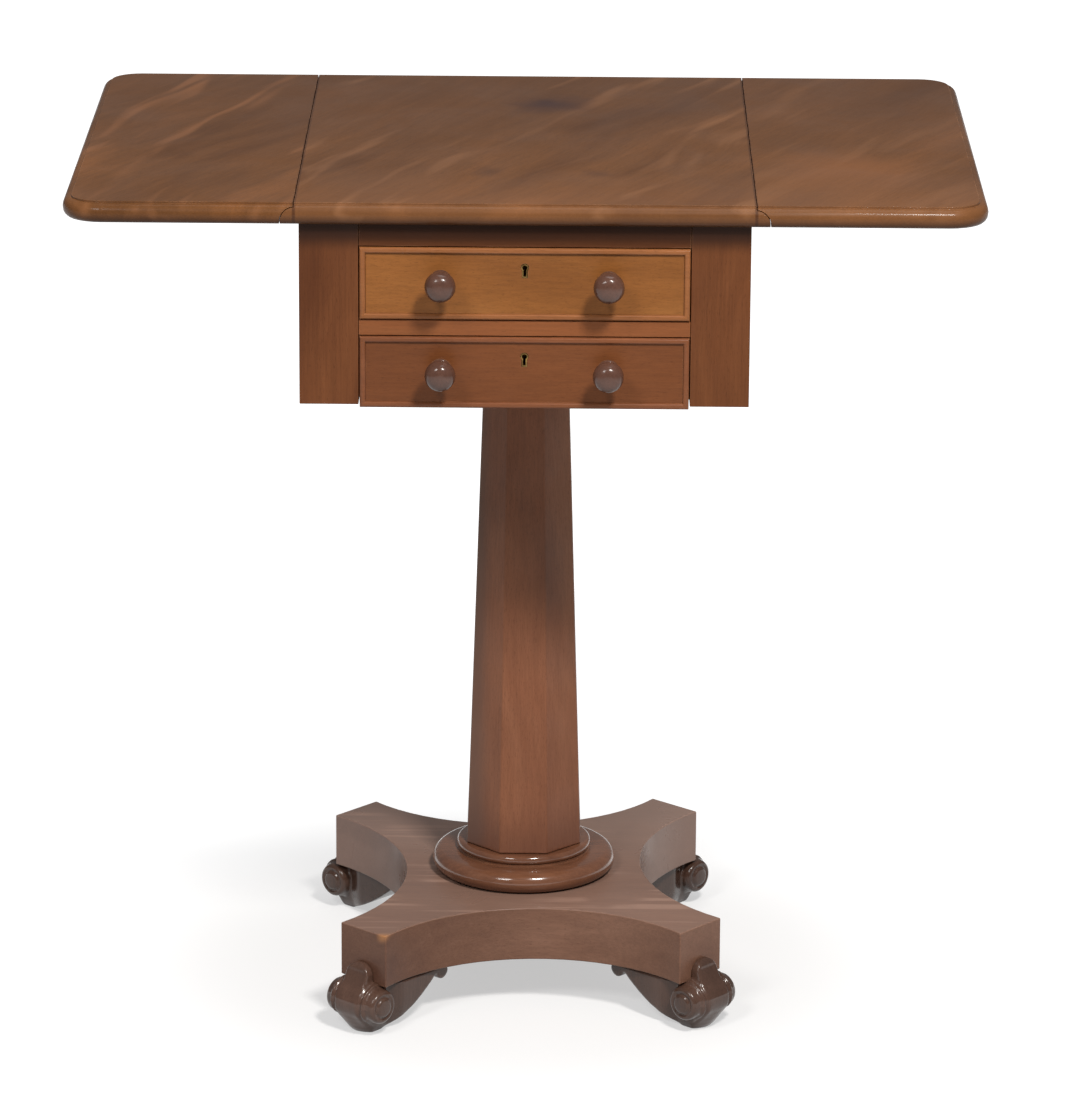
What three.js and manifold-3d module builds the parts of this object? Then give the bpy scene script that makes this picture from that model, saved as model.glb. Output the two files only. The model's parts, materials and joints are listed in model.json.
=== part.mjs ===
// A mahogany work table: a drop-leaf top over two drawers, on an octagonal pillar with four scroll feet.
// Millimetres, +Z up. The front is -Y, and the table stands on z = 0.
import * as THREE from "three";
import { mergeVertices } from "three/addons/utils/BufferGeometryUtils.js";
import Module from "manifold-3d";

const wasm = await Module();
wasm.setup();

// Overall sizes
const table_height = 724;
const centre_width = 364; // of the centre board, between its two visible joint lines
const leaf_width = 184; // from a joint line to the leaf's outer edge
const top_depth = 490;
const top_thickness = 17;
const leaf_corner_radius = 32;

// Clearances
const seam = 0.3; // between pieces that are glued or screwed together
const running = 0.4; // between wooden pieces that slide or turn on each other
const overrun = 2; // how far a cut reaches past the wood

// Moulded edge of the top
const edge_nose = 6; // how far the rounded nose stands out from the quirk
const edge_quirk = 1.6; // depth of the quirk below the top surface
const edge_quirk_width = 1;
const edge_steps = 8;
const corner_steps = 7;

// Rule joint of the leaves
const rule_fillet = 3.2;
const rule_radius = 11;
const rule_gap = 0.6;
const rule_steps = 8;

// Rule joint hinges
const hinge_length = 38;
const hinge_plate = 1.6;
const hinge_board_reach = 24; // from the pin inwards
const hinge_leaf_reach = 36; // from the pin outwards
const hinge_knuckle_radius = 2.6;
const hinge_pin_radius = 1.1;
const hinge_bore_radius = 1.5;
const hinge_notch = 0.8; // past the knuckle, where the other plate's knuckle turns
const hinge_end_gap = 0.5;
const hinge_place_share = 0.31; // of the top's depth, each way from its middle
const small_facets = 12;

// Carcase
const side_overhang = 3.5; // of the centre board past the carcase
const end_overhang = 10; // of the top past the carcase, front and back
const carcase_height = 148;
const front_thickness = 22;
const stile_width = 47;
const top_rail_height = 18.5;
const upper_opening_height = 60; // the lower drawer takes what is left under the divider
const divider_height = 12.5;
const side_thickness = 12;
const back_thickness = 16;
const bottom_thickness = 8;
const runner_thickness = 10;
const runner_reach = 18; // under the drawer's side
const guide_height = 13;

// Fly rails and their swinging brackets
const fly_thickness = 18;
const bracket_height = 66.6;
const bracket_reach = 88; // from the pin to the tip
const bracket_cove = 51;
const bracket_heel = 25; // flat foot of the bracket, from the pin
const bracket_tip_gap = 1.5;
const bracket_pin_place = 127; // from the middle of the table's depth
const bracket_pin_radius = 2.5;
const fingers = 5;
const finger_facets = 24;

// Drawers
const drawer_play = 0.8; // round each drawer front in its opening
const drawer_front_thickness = 20;
const drawer_side_thickness = 8;
const drawer_back_thickness = 8;
const drawer_bottom_thickness = 5;
const drawer_bottom_lift = 6; // of the drawer's floor over its sides' lower edges
const drawer_groove = 4;
const drawer_head_room = 2;
const drawer_back_room = 14; // behind a closed drawer
const bead_width = 4.5;
const bead_nose = 2.4;
const bead_depth = 10;
const bead_steps = 4;
const drawer_drop = 2; // of the lower drawer's front below the carcase

// Dovetails of the drawers: half-blind at the front, through at the back
const tail_length = 8;
const tail_half = 6; // half a tail's height where it leaves the side
const pin_half = 3; // half a pin's height at the drawer's rear face
const tail_slope_share = 0.15; // how much a tail or pin widens over its length, each way
const tail_place_shares = [0.27, 0.73]; // of the height that is joined

// Locks and keyholes
const keyhole_drop = 16; // below the drawer front's upper edge
const keyhole_radius = 2.1;
const keyhole_slot = 5; // length of the slot below the round
const keyhole_slot_half = 1.1;
const keyhole_wall = 0.9;
const lock_width = 54;
const lock_height = 26;
const lock_thickness = 8;
const lock_corner = 3;

// Knobs
const knob_spread = 133; // between the two knobs of a drawer
const knob_lift = 2; // above the middle of the drawer front
const knob_radius = 12.4;
const knob_reach = 30;
const knob_neck_radius = 7.2;
const knob_foot_radius = 9.2;
const knob_spigot_radius = 4.5;
const knob_cap_share = 0.34; // of the reach
const knob_foot_share = 0.12;
const knob_neck_steps = 4;
const knob_facets = 26;

// Pillar
const pillar_top_flat = 70; // across the flats under the cleat
const pillar_foot_flat = 96.4;
const pillar_sides = 8;
const pillar_tenon_radius = 20;
const cleat_length = 220;
const cleat_width = 120;
const cleat_thickness = 20;
const cleat_chamfer = 8;
const round_facets = 48;

// Turned collar between the pillar and the platform
const collar_height = 27.2;
const collar_radius = 77.5;
const collar_torus = 18; // height of the lower, larger bead
const collar_fillet = 1.6;
const collar_fillet_radius = 64;
const collar_ovolo = 6.4; // overhang of the upper bead past its own top
const collar_steps = 8;

// Platform
const platform_top = 87.5;
const platform_thickness = 45.5;
const platform_half_width = 158.5;
const platform_half_depth = 171.5;
const platform_cant = 36.5; // cut off each side at every corner
const platform_front_waist = 107; // from the centre to the middle of a hollow side
const platform_side_waist = 100;
const hollow_steps = 20;
const base_turn_deg = 3.2; // the base stands a little askew under the pillar, as on the real table

// Scroll feet, in each foot's own frame: s outwards through the canted corner, t across, z up
const foot_floor_near = 201;
const foot_floor_far = 216;
const foot_roll_centre = 211;
const foot_roll_height = 26;
const foot_roll_radius = 18;
const foot_width = 44;
const foot_sole_width = 27;
const foot_boss_radius = 14.5;
const foot_boss_reach = 7;
const foot_boss_dome = 4;
const foot_tongue_width = 25;
const foot_tongue_height = 18.5; // above the platform's underside
const foot_tongue_thickness = 7.5;
const foot_curl_centre = 134;
const foot_curl_radius = 6.8;
const foot_curl_drop = 5.6; // of the curl's centre below the platform
const foot_curl_from_deg = 124;
const foot_sweep_bow = 3.5; // how far the sweep from the curl to the sole bows from a straight line
const foot_toe_bow = 2; // the same for the toe, from the sole to the roll
const foot_roll_to_deg = 76; // where the roll runs into the cant
const foot_steps = 12;
const foot_dome_steps = 3;

// Finishes
function finish(colour, roughness, metalness = 0) {
  return () => new THREE.MeshStandardMaterial({ color: colour, roughness, metalness });
}
const mahogany = finish(0x6b4330, 0.35);
const base_mahogany = finish(0x76543f, 0.32);
const drawer_mahogany = finish(0x8a5430, 0.35);
const knob_mahogany = finish(0x5a3222, 0.25);
const pine = finish(0xb08a5c, 0.75);
const iron = finish(0x4a4642, 0.5, 0.9);
const brass = finish(0x9a7b42, 0.42, 1);

// Heights and places that follow
const top_under = table_height - top_thickness;
const carcase_bottom = top_under - carcase_height;
const carcase_top = top_under - seam;
const carcase_half = centre_width / 2 - side_overhang;
const front_face = end_overhang - top_depth / 2;
const frame_back = front_face + front_thickness;
const back_face = -front_face;
const inside_front = frame_back + seam;
const inside_back = back_face - back_thickness - seam;
const joint_line = centre_width / 2;
const pin_height = table_height - rule_fillet - rule_radius;
const top_half_length = joint_line + leaf_width;
const opening_half = carcase_half - stile_width;
const fly_inner = carcase_half - fly_thickness;
const side_outer = fly_inner - seam;
const side_inner = side_outer - side_thickness;
const upper_opening = top_under - top_rail_height - upper_opening_height;
const divider_low = upper_opening - divider_height;
const platform_under = platform_top - platform_thickness;
const collar_bottom = platform_top + seam;
const collar_top = platform_top + collar_height;
const bore_radius = pillar_tenon_radius + seam;
const depth_shift = (knob_reach - front_face - top_depth / 2) / 2; // centres the whole table on the origin

// A closed three.js geometry as a solid that can be joined and cut
function solid(geometry) {
  const bare = new THREE.BufferGeometry();
  bare.setAttribute("position", geometry.getAttribute("position"));
  if (geometry.index) bare.setIndex(geometry.index);
  const merged = mergeVertices(bare);
  const vertProperties = merged.attributes.position.array;
  const triVerts = new Uint32Array(merged.index.array);
  return new wasm.Manifold(new wasm.Mesh({ numProp: 3, vertProperties, triVerts }));
}

// A solid back as a flat-shaded three.js geometry
function shell(body) {
  const mesh = body.getMesh();
  const indexed = new THREE.BufferGeometry();
  indexed.setAttribute("position", new THREE.BufferAttribute(mesh.vertProperties, 3));
  indexed.setIndex(new THREE.BufferAttribute(mesh.triVerts, 1));
  const flat = indexed.toNonIndexed();
  flat.computeVertexNormals();
  return flat;
}

// A box between two corners
function block(x0, x1, y0, y1, z0, z1) {
  const box = new THREE.BoxGeometry(x1 - x0, y1 - y0, z1 - z0);
  return solid(box.translate((x0 + x1) / 2, (y0 + y1) / 2, (z0 + z1) / 2));
}

function extrusion(shape, length, steps) {
  return new THREE.ExtrudeGeometry(shape, { depth: length, bevelEnabled: false, curveSegments: steps });
}

// An outline drawn in (x, y), standing from z0 to z1
function along_z(shape, z0, z1, steps = small_facets) {
  return solid(extrusion(shape, z1 - z0, steps).translate(0, 0, z0));
}

// An outline drawn in (x, z), running from y0 to y1
function along_y(shape, y0, y1, steps = small_facets) {
  return solid(extrusion(shape, y1 - y0, steps).rotateX(Math.PI / 2).translate(0, y1, 0));
}

// An outline drawn in (y, z), running from x0 to x1
function along_x(shape, x0, x1, steps = small_facets) {
  const turn = new THREE.Matrix4().set(0, 0, 1, 0, 1, 0, 0, 0, 0, 1, 0, 0, 0, 0, 0, 1);
  return solid(extrusion(shape, x1 - x0, steps).applyMatrix4(turn).translate(x0, 0, 0));
}

// A round bar along +Z
function round_z(radius, x, y, z0, z1, facets = finger_facets) {
  const bar = new THREE.CylinderGeometry(radius, radius, z1 - z0, facets).rotateX(Math.PI / 2);
  return solid(bar.translate(x, y, (z0 + z1) / 2));
}

// A round bar along +Y
function round_y(radius, x, z, y0, y1, facets = small_facets) {
  const bar = new THREE.CylinderGeometry(radius, radius, y1 - y0, facets);
  return solid(bar.translate(x, (y0 + y1) / 2, z));
}

function polygon(points) {
  return new THREE.Shape(points.map(([u, v]) => new THREE.Vector2(u, v)));
}

// A turned piece: its profile of [radius, height] points starts and ends on the axis or closes on itself
function turned(profile, facets) {
  const lathe = new THREE.LatheGeometry(profile.map(([r, h]) => new THREE.Vector2(r, h)), facets);
  return lathe.rotateX(Math.PI / 2);
}

// Points on an arc round (cu, cv), from one angle to another
function arc(cu, cv, ru, rv, from, to, steps) {
  const points = [];
  for (let i = 0; i <= steps; i++) {
    const angle = from + ((to - from) * i) / steps;
    points.push([cu + ru * Math.cos(angle), cv + rv * Math.sin(angle)]);
  }
  return points;
}

// Equal rings of [x, y, z] points, stacked and capped into one closed solid
function stacked(rings) {
  const count = rings[0].length;
  const positions = rings.flat(2);
  const index = [];
  for (let level = 0; level + 1 < rings.length; level++)
    for (let i = 0; i < count; i++) {
      const next = (i + 1) % count;
      const a = level * count + i;
      const b = level * count + next;
      index.push(a, b, b + count, a, b + count, a + count);
    }
  const last = (rings.length - 1) * count;
  for (let i = 1; i + 1 < count; i++) {
    index.push(0, i + 1, i);
    index.push(last, last + i, last + i + 1);
  }
  const geometry = new THREE.BufferGeometry();
  geometry.setAttribute("position", new THREE.Float32BufferAttribute(positions, 3));
  geometry.setIndex(index);
  return solid(geometry);
}

// The whole top before it is cut into boards, with its moulded edge run round the rounded corners
function moulded_slab() {
  const nose_height = (top_thickness - edge_quirk) / 2;
  const nose = arc(edge_nose, nose_height, -edge_nose, nose_height, -Math.PI / 2, Math.PI / 2, edge_steps);
  const quirk_inset = edge_nose + edge_quirk_width;
  const profile = [...nose, [quirk_inset, 2 * nose_height], [quirk_inset, top_thickness]];
  const rings = profile.map(([inset, height]) => {
    const radius = leaf_corner_radius - inset;
    const cx = top_half_length - leaf_corner_radius;
    const cy = top_depth / 2 - leaf_corner_radius;
    const centres = [[cx, cy], [-cx, cy], [-cx, -cy], [cx, -cy]];
    return centres.flatMap(([x, y], corner) => {
      const from = (corner * Math.PI) / 2;
      const points = arc(x, y, radius, radius, from, from + Math.PI / 2, corner_steps);
      return points.map(([px, py]) => [px, py, top_under + height]);
    });
  });
  return stacked(rings);
}

// Section of the centre board in (x, z), grown by a gap: a fillet and a quarter round at each side
function rule_section(gap) {
  const low = top_under - overrun;
  const high = table_height + overrun;
  const radius = rule_radius + gap;
  const right = arc(joint_line, pin_height, radius, radius, 0, Math.PI / 2, rule_steps);
  const last = right.length - 1;
  right[last] = [joint_line + gap, right[last][1]];
  const half = [[joint_line + radius, low], ...right, [joint_line + gap, high]];
  const other = half.map(([x, z]) => [-x, z]).reverse();
  return polygon([...half, ...other]);
}

function hinge_places() {
  return [-1, 1].map((side) => side * hinge_place_share * top_depth);
}

// Room for one hinge in the underside, at the right-hand joint
function hinge_recess(y) {
  const half = hinge_length / 2 + seam;
  const ceiling = top_under + 2 * seam + hinge_plate + seam;
  const inner = joint_line - hinge_board_reach - seam;
  const outer = joint_line + hinge_leaf_reach + seam;
  const plates = block(inner, outer, y - half, y + half, top_under - overrun, ceiling);
  const throat = hinge_knuckle_radius + running;
  const low = top_under - overrun;
  const slot = block(joint_line - throat, joint_line + throat, y - half, y + half, low, pin_height);
  return plates.add(slot).add(round_y(throat, joint_line, pin_height, y - half, y + half));
}

// The plate that is screwed to the centre board, with its two knuckles and the riveted pin
function hinge_board_plate(y) {
  const half = hinge_length / 2;
  const low = top_under + seam;
  const middle = hinge_length / 6 + hinge_end_gap / 2;
  const notch = hinge_knuckle_radius + hinge_notch;
  const inner = joint_line - hinge_board_reach;
  let body = block(inner, joint_line - notch, y - half, y + half, low, low + hinge_plate);
  for (const [y0, y1] of [[y - half, y - middle], [y + middle, y + half]]) {
    body = body.add(block(joint_line - notch - seam, joint_line, y0, y1, low, low + hinge_plate));
    body = body.add(round_y(hinge_knuckle_radius, joint_line, pin_height, y0, y1));
  }
  return body.add(round_y(hinge_pin_radius, joint_line, pin_height, y - half, y + half));
}

// The longer plate that crosses the joint and is screwed to the leaf, with the middle knuckle
function hinge_leaf_plate(y) {
  const half = hinge_length / 2;
  const low = top_under + seam;
  const middle = hinge_length / 6 - hinge_end_gap / 2;
  const notch = hinge_knuckle_radius + hinge_notch;
  const outer = joint_line + hinge_leaf_reach;
  const plate = block(joint_line + notch, outer, y - half, y + half, low, low + hinge_plate);
  const neck = block(joint_line, joint_line + notch + seam, y - middle, y + middle, low, low + hinge_plate);
  const knuckle = round_y(hinge_knuckle_radius, joint_line, pin_height, y - middle, y + middle);
  const bore = round_y(hinge_bore_radius, joint_line, pin_height, y - half, y + half);
  return plate.add(neck).add(knuckle).subtract(bore);
}

function turned_half(body) {
  return body.rotate([0, 0, 180]);
}

function centre_board(slab) {
  let board = slab.intersect(along_y(rule_section(0), -top_depth, top_depth));
  for (const y of hinge_places()) {
    board = board.subtract(hinge_recess(y)).subtract(turned_half(hinge_recess(y)));
  }
  return board;
}

function right_leaf(slab) {
  const cut = along_y(rule_section(rule_gap), -top_depth, top_depth);
  const half = block(0, 2 * top_half_length, -top_depth, top_depth, 0, 2 * table_height);
  let leaf = slab.subtract(cut).intersect(half);
  for (const y of hinge_places()) leaf = leaf.subtract(hinge_recess(y));
  return leaf;
}

// Outline of the right-hand bracket when it is folded, in (y, z), with the pin's axis at y = 0
function bracket_outline(clearance, tip_clearance, swing) {
  const low = carcase_top - bracket_height;
  const centre = bracket_heel + bracket_cove + swing;
  const radius = bracket_cove - clearance;
  const tip = bracket_reach + tip_clearance;
  const cove = arc(centre, low, radius, radius, Math.PI, Math.PI / 2, finger_facets / 2);
  const foot = [[0, low - clearance], [centre - radius, low - clearance]];
  const nose = [[tip, low + radius], [tip, carcase_top + clearance]];
  return polygon([...foot, ...cove, ...nose, [0, carcase_top + clearance]]);
}

// The heights of the knuckle's fingers: even ones belong to the rail, odd ones to the bracket
function finger_span(index) {
  const height = bracket_height / fingers;
  const low = carcase_top - bracket_height + index * height;
  return [low, low + height];
}

function bracket_axis() {
  return { x: carcase_half - fly_thickness / 2, y: -bracket_pin_place };
}

// A box round the knuckle, from one depth to another, to cut a shoulder between two fingers
function knuckle_room(from_y, to_y, low, high) {
  const { x } = bracket_axis();
  return block(x - fly_thickness, x + fly_thickness, from_y, to_y, low, high);
}

// The rail keeps the even fingers: each is a round post on a neck, with running room above and below
function fly_rail(from_y, to_y) {
  const { x, y } = bracket_axis();
  const round = fly_thickness / 2;
  const swing = Math.hypot(bracket_heel, round) - bracket_heel; // of the heel's inner edge past its place
  const room = bracket_outline(2 * running, bracket_tip_gap, swing);
  const pocket = along_x(room, fly_inner - overrun, carcase_half + overrun).translate([0, y, 0]);
  let rail = block(fly_inner, carcase_half, from_y, to_y, carcase_bottom, carcase_top).subtract(pocket);
  const shoulder = y - round - running;
  for (let i = 0; i < fingers; i++) {
    const [low, high] = finger_span(i);
    if (i % 2) {
      const slot = knuckle_room(shoulder, y + overrun, low - running, high + running);
      rail = rail.subtract(slot);
    } else {
      const foot = i === 0 ? low - overrun : low + running;
      const head = i === fingers - 1 ? high : high - running;
      rail = rail.add(round_z(round, x, y, foot, head));
    }
  }
  const floor = carcase_top - bracket_height - overrun;
  return rail.subtract(round_z(bracket_pin_radius + seam, x, y, floor, carcase_top + overrun));
}

function fly_bracket() {
  const { x, y } = bracket_axis();
  const round = fly_thickness / 2;
  let bracket = along_x(bracket_outline(0, 0, 0), fly_inner, carcase_half).translate([0, y, 0]);
  for (let i = 0; i < fingers; i++) {
    const [low, high] = finger_span(i);
    if (i % 2) {
      bracket = bracket.add(round_z(round, x, y, low, high));
    } else {
      const from = i === 0 ? low - overrun : low;
      const to = i === fingers - 1 ? high + overrun : high;
      bracket = bracket.subtract(knuckle_room(y - overrun, y + round + running, from, to));
    }
  }
  return bracket.subtract(round_z(bracket_pin_radius + seam, x, y, carcase_bottom, carcase_top + overrun));
}

function bracket_pin() {
  const { x, y } = bracket_axis();
  const foot = carcase_top - bracket_height - overrun + seam;
  return round_z(bracket_pin_radius, x, y, foot, carcase_top - seam, small_facets);
}

// An L-shaped strip behind the divider: it carries the upper drawer's side and guides it
function upper_runner() {
  const low = upper_opening - runner_thickness;
  const inner = opening_half - runner_reach;
  const outline = [
    [inner, low],
    [side_inner - seam, low],
    [side_inner - seam, upper_opening + guide_height],
    [opening_half, upper_opening + guide_height],
    [opening_half, upper_opening],
    [inner, upper_opening],
  ];
  return along_y(polygon(outline), inside_front, inside_back);
}

function lower_guide() {
  const low = carcase_bottom + bottom_thickness + seam;
  return block(opening_half, side_inner - seam, inside_front, inside_back, low, low + guide_height);
}

// Sizes of one drawer, from its front's lower and upper edges and the surface that it slides on
function drawer_sizes(low, high, slide_height) {
  return {
    low,
    high,
    half: opening_half - drawer_play,
    box_low: slide_height + seam,
    box_high: high - drawer_head_room,
    box_front: front_face + drawer_front_thickness,
    box_back: inside_back - drawer_back_room,
    knob_height: (low + high) / 2 + knob_lift,
    key_height: high - keyhole_drop,
  };
}

// Outline of a keyhole in (x, z), grown by a wall
function keyhole(size, wall) {
  const radius = keyhole_radius + wall;
  const half = keyhole_slot_half + wall;
  const meet = Math.asin(half / radius);
  const bow = arc(0, size.key_height, radius, radius, meet - Math.PI / 2, 1.5 * Math.PI - meet, small_facets);
  const foot = size.key_height - keyhole_radius - keyhole_slot - wall;
  return polygon([[half, foot], ...bow, [-half, foot]]);
}

// Middles of the tails or pins that share a height
function tail_heights(low, high) {
  return tail_place_shares.map((share) => low + share * (high - low));
}

// Outline in (y, z) of a tail or pin that widens forwards from its narrow end
function dovetail(height, half, narrow_y, from_y, to_y) {
  const near = half + tail_slope_share * (narrow_y - from_y);
  const far = half + tail_slope_share * (narrow_y - to_y);
  return polygon([
    [from_y, height - near],
    [to_y, height - far],
    [to_y, height + far],
    [from_y, height + near],
  ]);
}

// The tails of the right-hand drawer side, or with a gap the sockets that they fit in the drawer front
function front_tails(size, gap, reach) {
  const tip = size.box_front - tail_length - gap;
  const inner = size.half - drawer_side_thickness - gap;
  return tail_heights(size.box_low, size.box_high).map((height) => {
    const outline = dovetail(height, tail_half + gap, size.box_front, tip, size.box_front + reach);
    return along_x(outline, inner, size.half + 2 * gap);
  });
}

// The pins of the drawer back, or with a gap the slots that they fit in both sides
function back_pins(size, gap) {
  const low = size.box_low + drawer_bottom_lift + drawer_bottom_thickness + seam;
  const near = size.box_back - drawer_back_thickness - gap;
  const reach = size.half + 2 * gap;
  return tail_heights(low, size.box_high).map((height) => {
    const outline = dovetail(height, pin_half + gap, size.box_back, near, size.box_back + 2 * gap);
    return along_x(outline, -reach, reach);
  });
}

function drawer_front(size) {
  const inset = bead_width + seam;
  const back = size.box_front;
  const rim_back = front_face + bead_depth + seam;
  const panel_half = size.half - inset;
  const face = block(-panel_half, panel_half, front_face, back, size.low + inset, size.high - inset);
  let front = face.add(block(-size.half, size.half, rim_back, back, size.low, size.high));
  const groove_low = size.box_low + drawer_bottom_lift - seam;
  const groove_high = groove_low + drawer_bottom_thickness + 2 * seam;
  const groove_half = size.half - drawer_side_thickness + drawer_groove;
  front = front.subtract(
    block(-groove_half, groove_half, back - drawer_groove, back + overrun, groove_low, groove_high),
  );
  const near = front_face - overrun;
  const far = back + overrun;
  front = front.subtract(along_y(keyhole(size, keyhole_wall + seam), near, far));
  for (const side of [-1, 1]) {
    const x = (side * knob_spread) / 2;
    front = front.subtract(round_y(knob_spigot_radius + seam, x, size.knob_height, near, far));
  }
  for (const socket of front_tails(size, seam, overrun)) {
    front = front.subtract(socket).subtract(mirrored(socket, "left"));
  }
  return front;
}

// The cock bead: a rounded strip, mitred round the drawer front and standing a little proud of it
function cock_bead(size) {
  const nose = arc(bead_width / 2, 0, bead_width / 2, -bead_nose, Math.PI, 0, bead_steps);
  const profile = [...nose, [bead_width, bead_depth], [0, bead_depth]];
  const rings = profile.map(([inset, depth]) => {
    const x = size.half - inset;
    const low = size.low + inset;
    const high = size.high - inset;
    const y = front_face + depth;
    return [[-x, y, low], [x, y, low], [x, y, high], [-x, y, high]];
  });
  const corners = rings[0].length;
  const index = [];
  for (let level = 0; level < rings.length; level++)
    for (let i = 0; i < corners; i++) {
      const next = (i + 1) % corners;
      const above = (level + 1) % rings.length;
      const a = level * corners + i;
      const b = level * corners + next;
      index.push(a, b, above * corners + next, a, above * corners + next, above * corners + i);
    }
  const geometry = new THREE.BufferGeometry();
  geometry.setAttribute("position", new THREE.Float32BufferAttribute(rings.flat(2), 3));
  geometry.setIndex(index);
  return solid(geometry);
}

function drawer_side(size) {
  const outer = size.half;
  const inner = size.half - drawer_side_thickness;
  let side = block(inner, outer, size.box_front + seam, size.box_back, size.box_low, size.box_high);
  for (const tail of front_tails(size, 0, overrun)) side = side.add(tail);
  for (const slot of back_pins(size, seam)) side = side.subtract(slot);
  const groove_low = size.box_low + drawer_bottom_lift - seam;
  const groove_high = groove_low + drawer_bottom_thickness + 2 * seam;
  const groove_back = size.box_back + overrun;
  const groove_front = size.box_front - drawer_groove;
  const floor = inner + drawer_groove;
  return side.subtract(block(inner - overrun, floor, groove_front, groove_back, groove_low, groove_high));
}

function drawer_back(size) {
  const half = size.half - drawer_side_thickness - seam;
  const low = size.box_low + drawer_bottom_lift + drawer_bottom_thickness + seam;
  const near = size.box_back - drawer_back_thickness;
  let back = block(-half, half, near, size.box_back, low, size.box_high);
  for (const pin of back_pins(size, 0)) back = back.add(pin);
  return back;
}

function drawer_bottom(size) {
  const half = size.half - drawer_side_thickness + drawer_groove - seam;
  const low = size.box_low + drawer_bottom_lift;
  const front = size.box_front - drawer_groove + seam;
  return block(-half, half, front, size.box_back, low, low + drawer_bottom_thickness);
}

// A thin brass ring let in flush round the keyhole
function escutcheon(size) {
  const ring = along_y(keyhole(size, keyhole_wall), front_face - seam, front_face + bead_width);
  return ring.subtract(along_y(keyhole(size, 0), front_face - overrun, front_face + bead_depth));
}

// The lock case, screwed to the back of the drawer front with its bolt drawn in
function drawer_lock(size) {
  const low = size.high - lock_height;
  const outline = polygon([
    [-lock_width / 2, low + lock_corner],
    [-lock_width / 2 + lock_corner, low],
    [lock_width / 2 - lock_corner, low],
    [lock_width / 2, low + lock_corner],
    [lock_width / 2, size.high - drawer_head_room],
    [-lock_width / 2, size.high - drawer_head_room],
  ]);
  return along_y(outline, size.box_front + seam, size.box_front + seam + lock_thickness);
}

// A turned mushroom knob with its spigot, standing out along -Y
function knob(side, size) {
  const cap = knob_reach * knob_cap_share;
  const shoulder = knob_reach - cap;
  const foot = knob_reach * knob_foot_share;
  const sweep = knob_radius - knob_neck_radius;
  const head = arc(0, shoulder, knob_radius, cap, 0, Math.PI / 2, small_facets / 2);
  const under = arc(knob_radius, shoulder - cap / 2, sweep, cap / 2, Math.PI, Math.PI / 2, knob_neck_steps);
  const profile = [
    [0, -drawer_front_thickness - bead_nose],
    [knob_spigot_radius, -drawer_front_thickness - bead_nose],
    [knob_spigot_radius, seam],
    [knob_foot_radius, seam],
    [knob_foot_radius, foot],
    [knob_neck_radius, foot + seam],
    ...under,
    ...head.slice(0, -1),
    [0, knob_reach],
  ];
  const turning = turned(profile, knob_facets).rotateX(Math.PI / 2);
  return turning.translate((side * knob_spread) / 2, front_face, size.knob_height);
}

// The octagonal pillar, tapering upwards, with a round tenon at each end
function pillar() {
  const top = carcase_bottom - seam - cleat_thickness - seam;
  const bottom = collar_top + seam;
  const corner = Math.cos(Math.PI / pillar_sides) * 2;
  const upper = pillar_top_flat / corner;
  const lower = pillar_foot_flat / corner;
  const shaft = new THREE.CylinderGeometry(upper, lower, top - bottom, pillar_sides);
  shaft.rotateY(Math.PI / pillar_sides).rotateX(Math.PI / 2).translate(0, 0, (top + bottom) / 2);
  const tenon_top = carcase_bottom - 2 * seam;
  const tenon = round_z(pillar_tenon_radius, 0, 0, platform_under + seam, tenon_top, small_facets * 2);
  return solid(shaft).add(tenon);
}

// The block under the carcase that takes the pillar's upper tenon
function cleat() {
  const top = carcase_bottom - seam;
  const low = top - cleat_thickness;
  const outline = [
    [-cleat_length / 2, top],
    [-cleat_length / 2, low + cleat_chamfer],
    [-cleat_length / 2 + cleat_chamfer, low],
    [cleat_length / 2 - cleat_chamfer, low],
    [cleat_length / 2, low + cleat_chamfer],
    [cleat_length / 2, top],
  ];
  const body = along_y(polygon(outline), -cleat_width / 2, cleat_width / 2);
  return body.subtract(round_z(bore_radius, 0, 0, low - overrun, top + overrun, small_facets * 2));
}

// A large bead, a fillet and a small ovolo, turned in one piece
function collar() {
  const torus_top = collar_bottom + collar_torus;
  const nose = collar_torus / 2;
  const swell = collar_radius - nose;
  const torus = arc(swell, collar_bottom + nose, nose, nose, -Math.PI / 2, Math.PI / 2, collar_steps);
  const fillet_top = torus_top + collar_fillet;
  const rise = collar_top - fillet_top;
  const crown = collar_fillet_radius - collar_ovolo;
  const ovolo = arc(crown, fillet_top, collar_ovolo, rise, 0, Math.PI / 2, collar_steps / 2);
  const profile = [
    [bore_radius, collar_bottom],
    ...torus,
    [collar_fillet_radius - collar_fillet, torus_top],
    [collar_fillet_radius - collar_fillet, fillet_top],
    ...ovolo,
    [bore_radius, collar_top],
    [bore_radius, collar_bottom],
  ];
  return turned(profile, round_facets);
}

// One hollow side of the platform as an arc on the -Y side, given its reach, its waist and half its chord
function hollow_side(reach, waist, chord_half) {
  const sag = reach - waist;
  const radius = (chord_half ** 2 + sag ** 2) / (2 * sag);
  const from = Math.PI / 2 + Math.asin(chord_half / radius);
  return arc(0, -waist - radius, radius, radius, from, Math.PI - from, hollow_steps);
}

// The hollow-sided platform with its four canted corners
function platform() {
  const front = hollow_side(platform_half_depth, platform_front_waist, platform_half_width - platform_cant);
  const right = hollow_side(platform_half_width, platform_side_waist, platform_half_depth - platform_cant);
  const sides = [front, right, front, right];
  const outline = sides.flatMap((side, quarter) => {
    const turn = (quarter * Math.PI) / 2;
    const [across, along] = [Math.cos(turn), Math.sin(turn)];
    return side.map(([x, y]) => [x * across - y * along, x * along + y * across]);
  });
  const body = along_z(polygon(outline), platform_under, platform_top);
  const bore = round_z(bore_radius, 0, 0, platform_under - overrun, platform_top + overrun, small_facets * 2);
  return body.subtract(bore);
}

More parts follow.
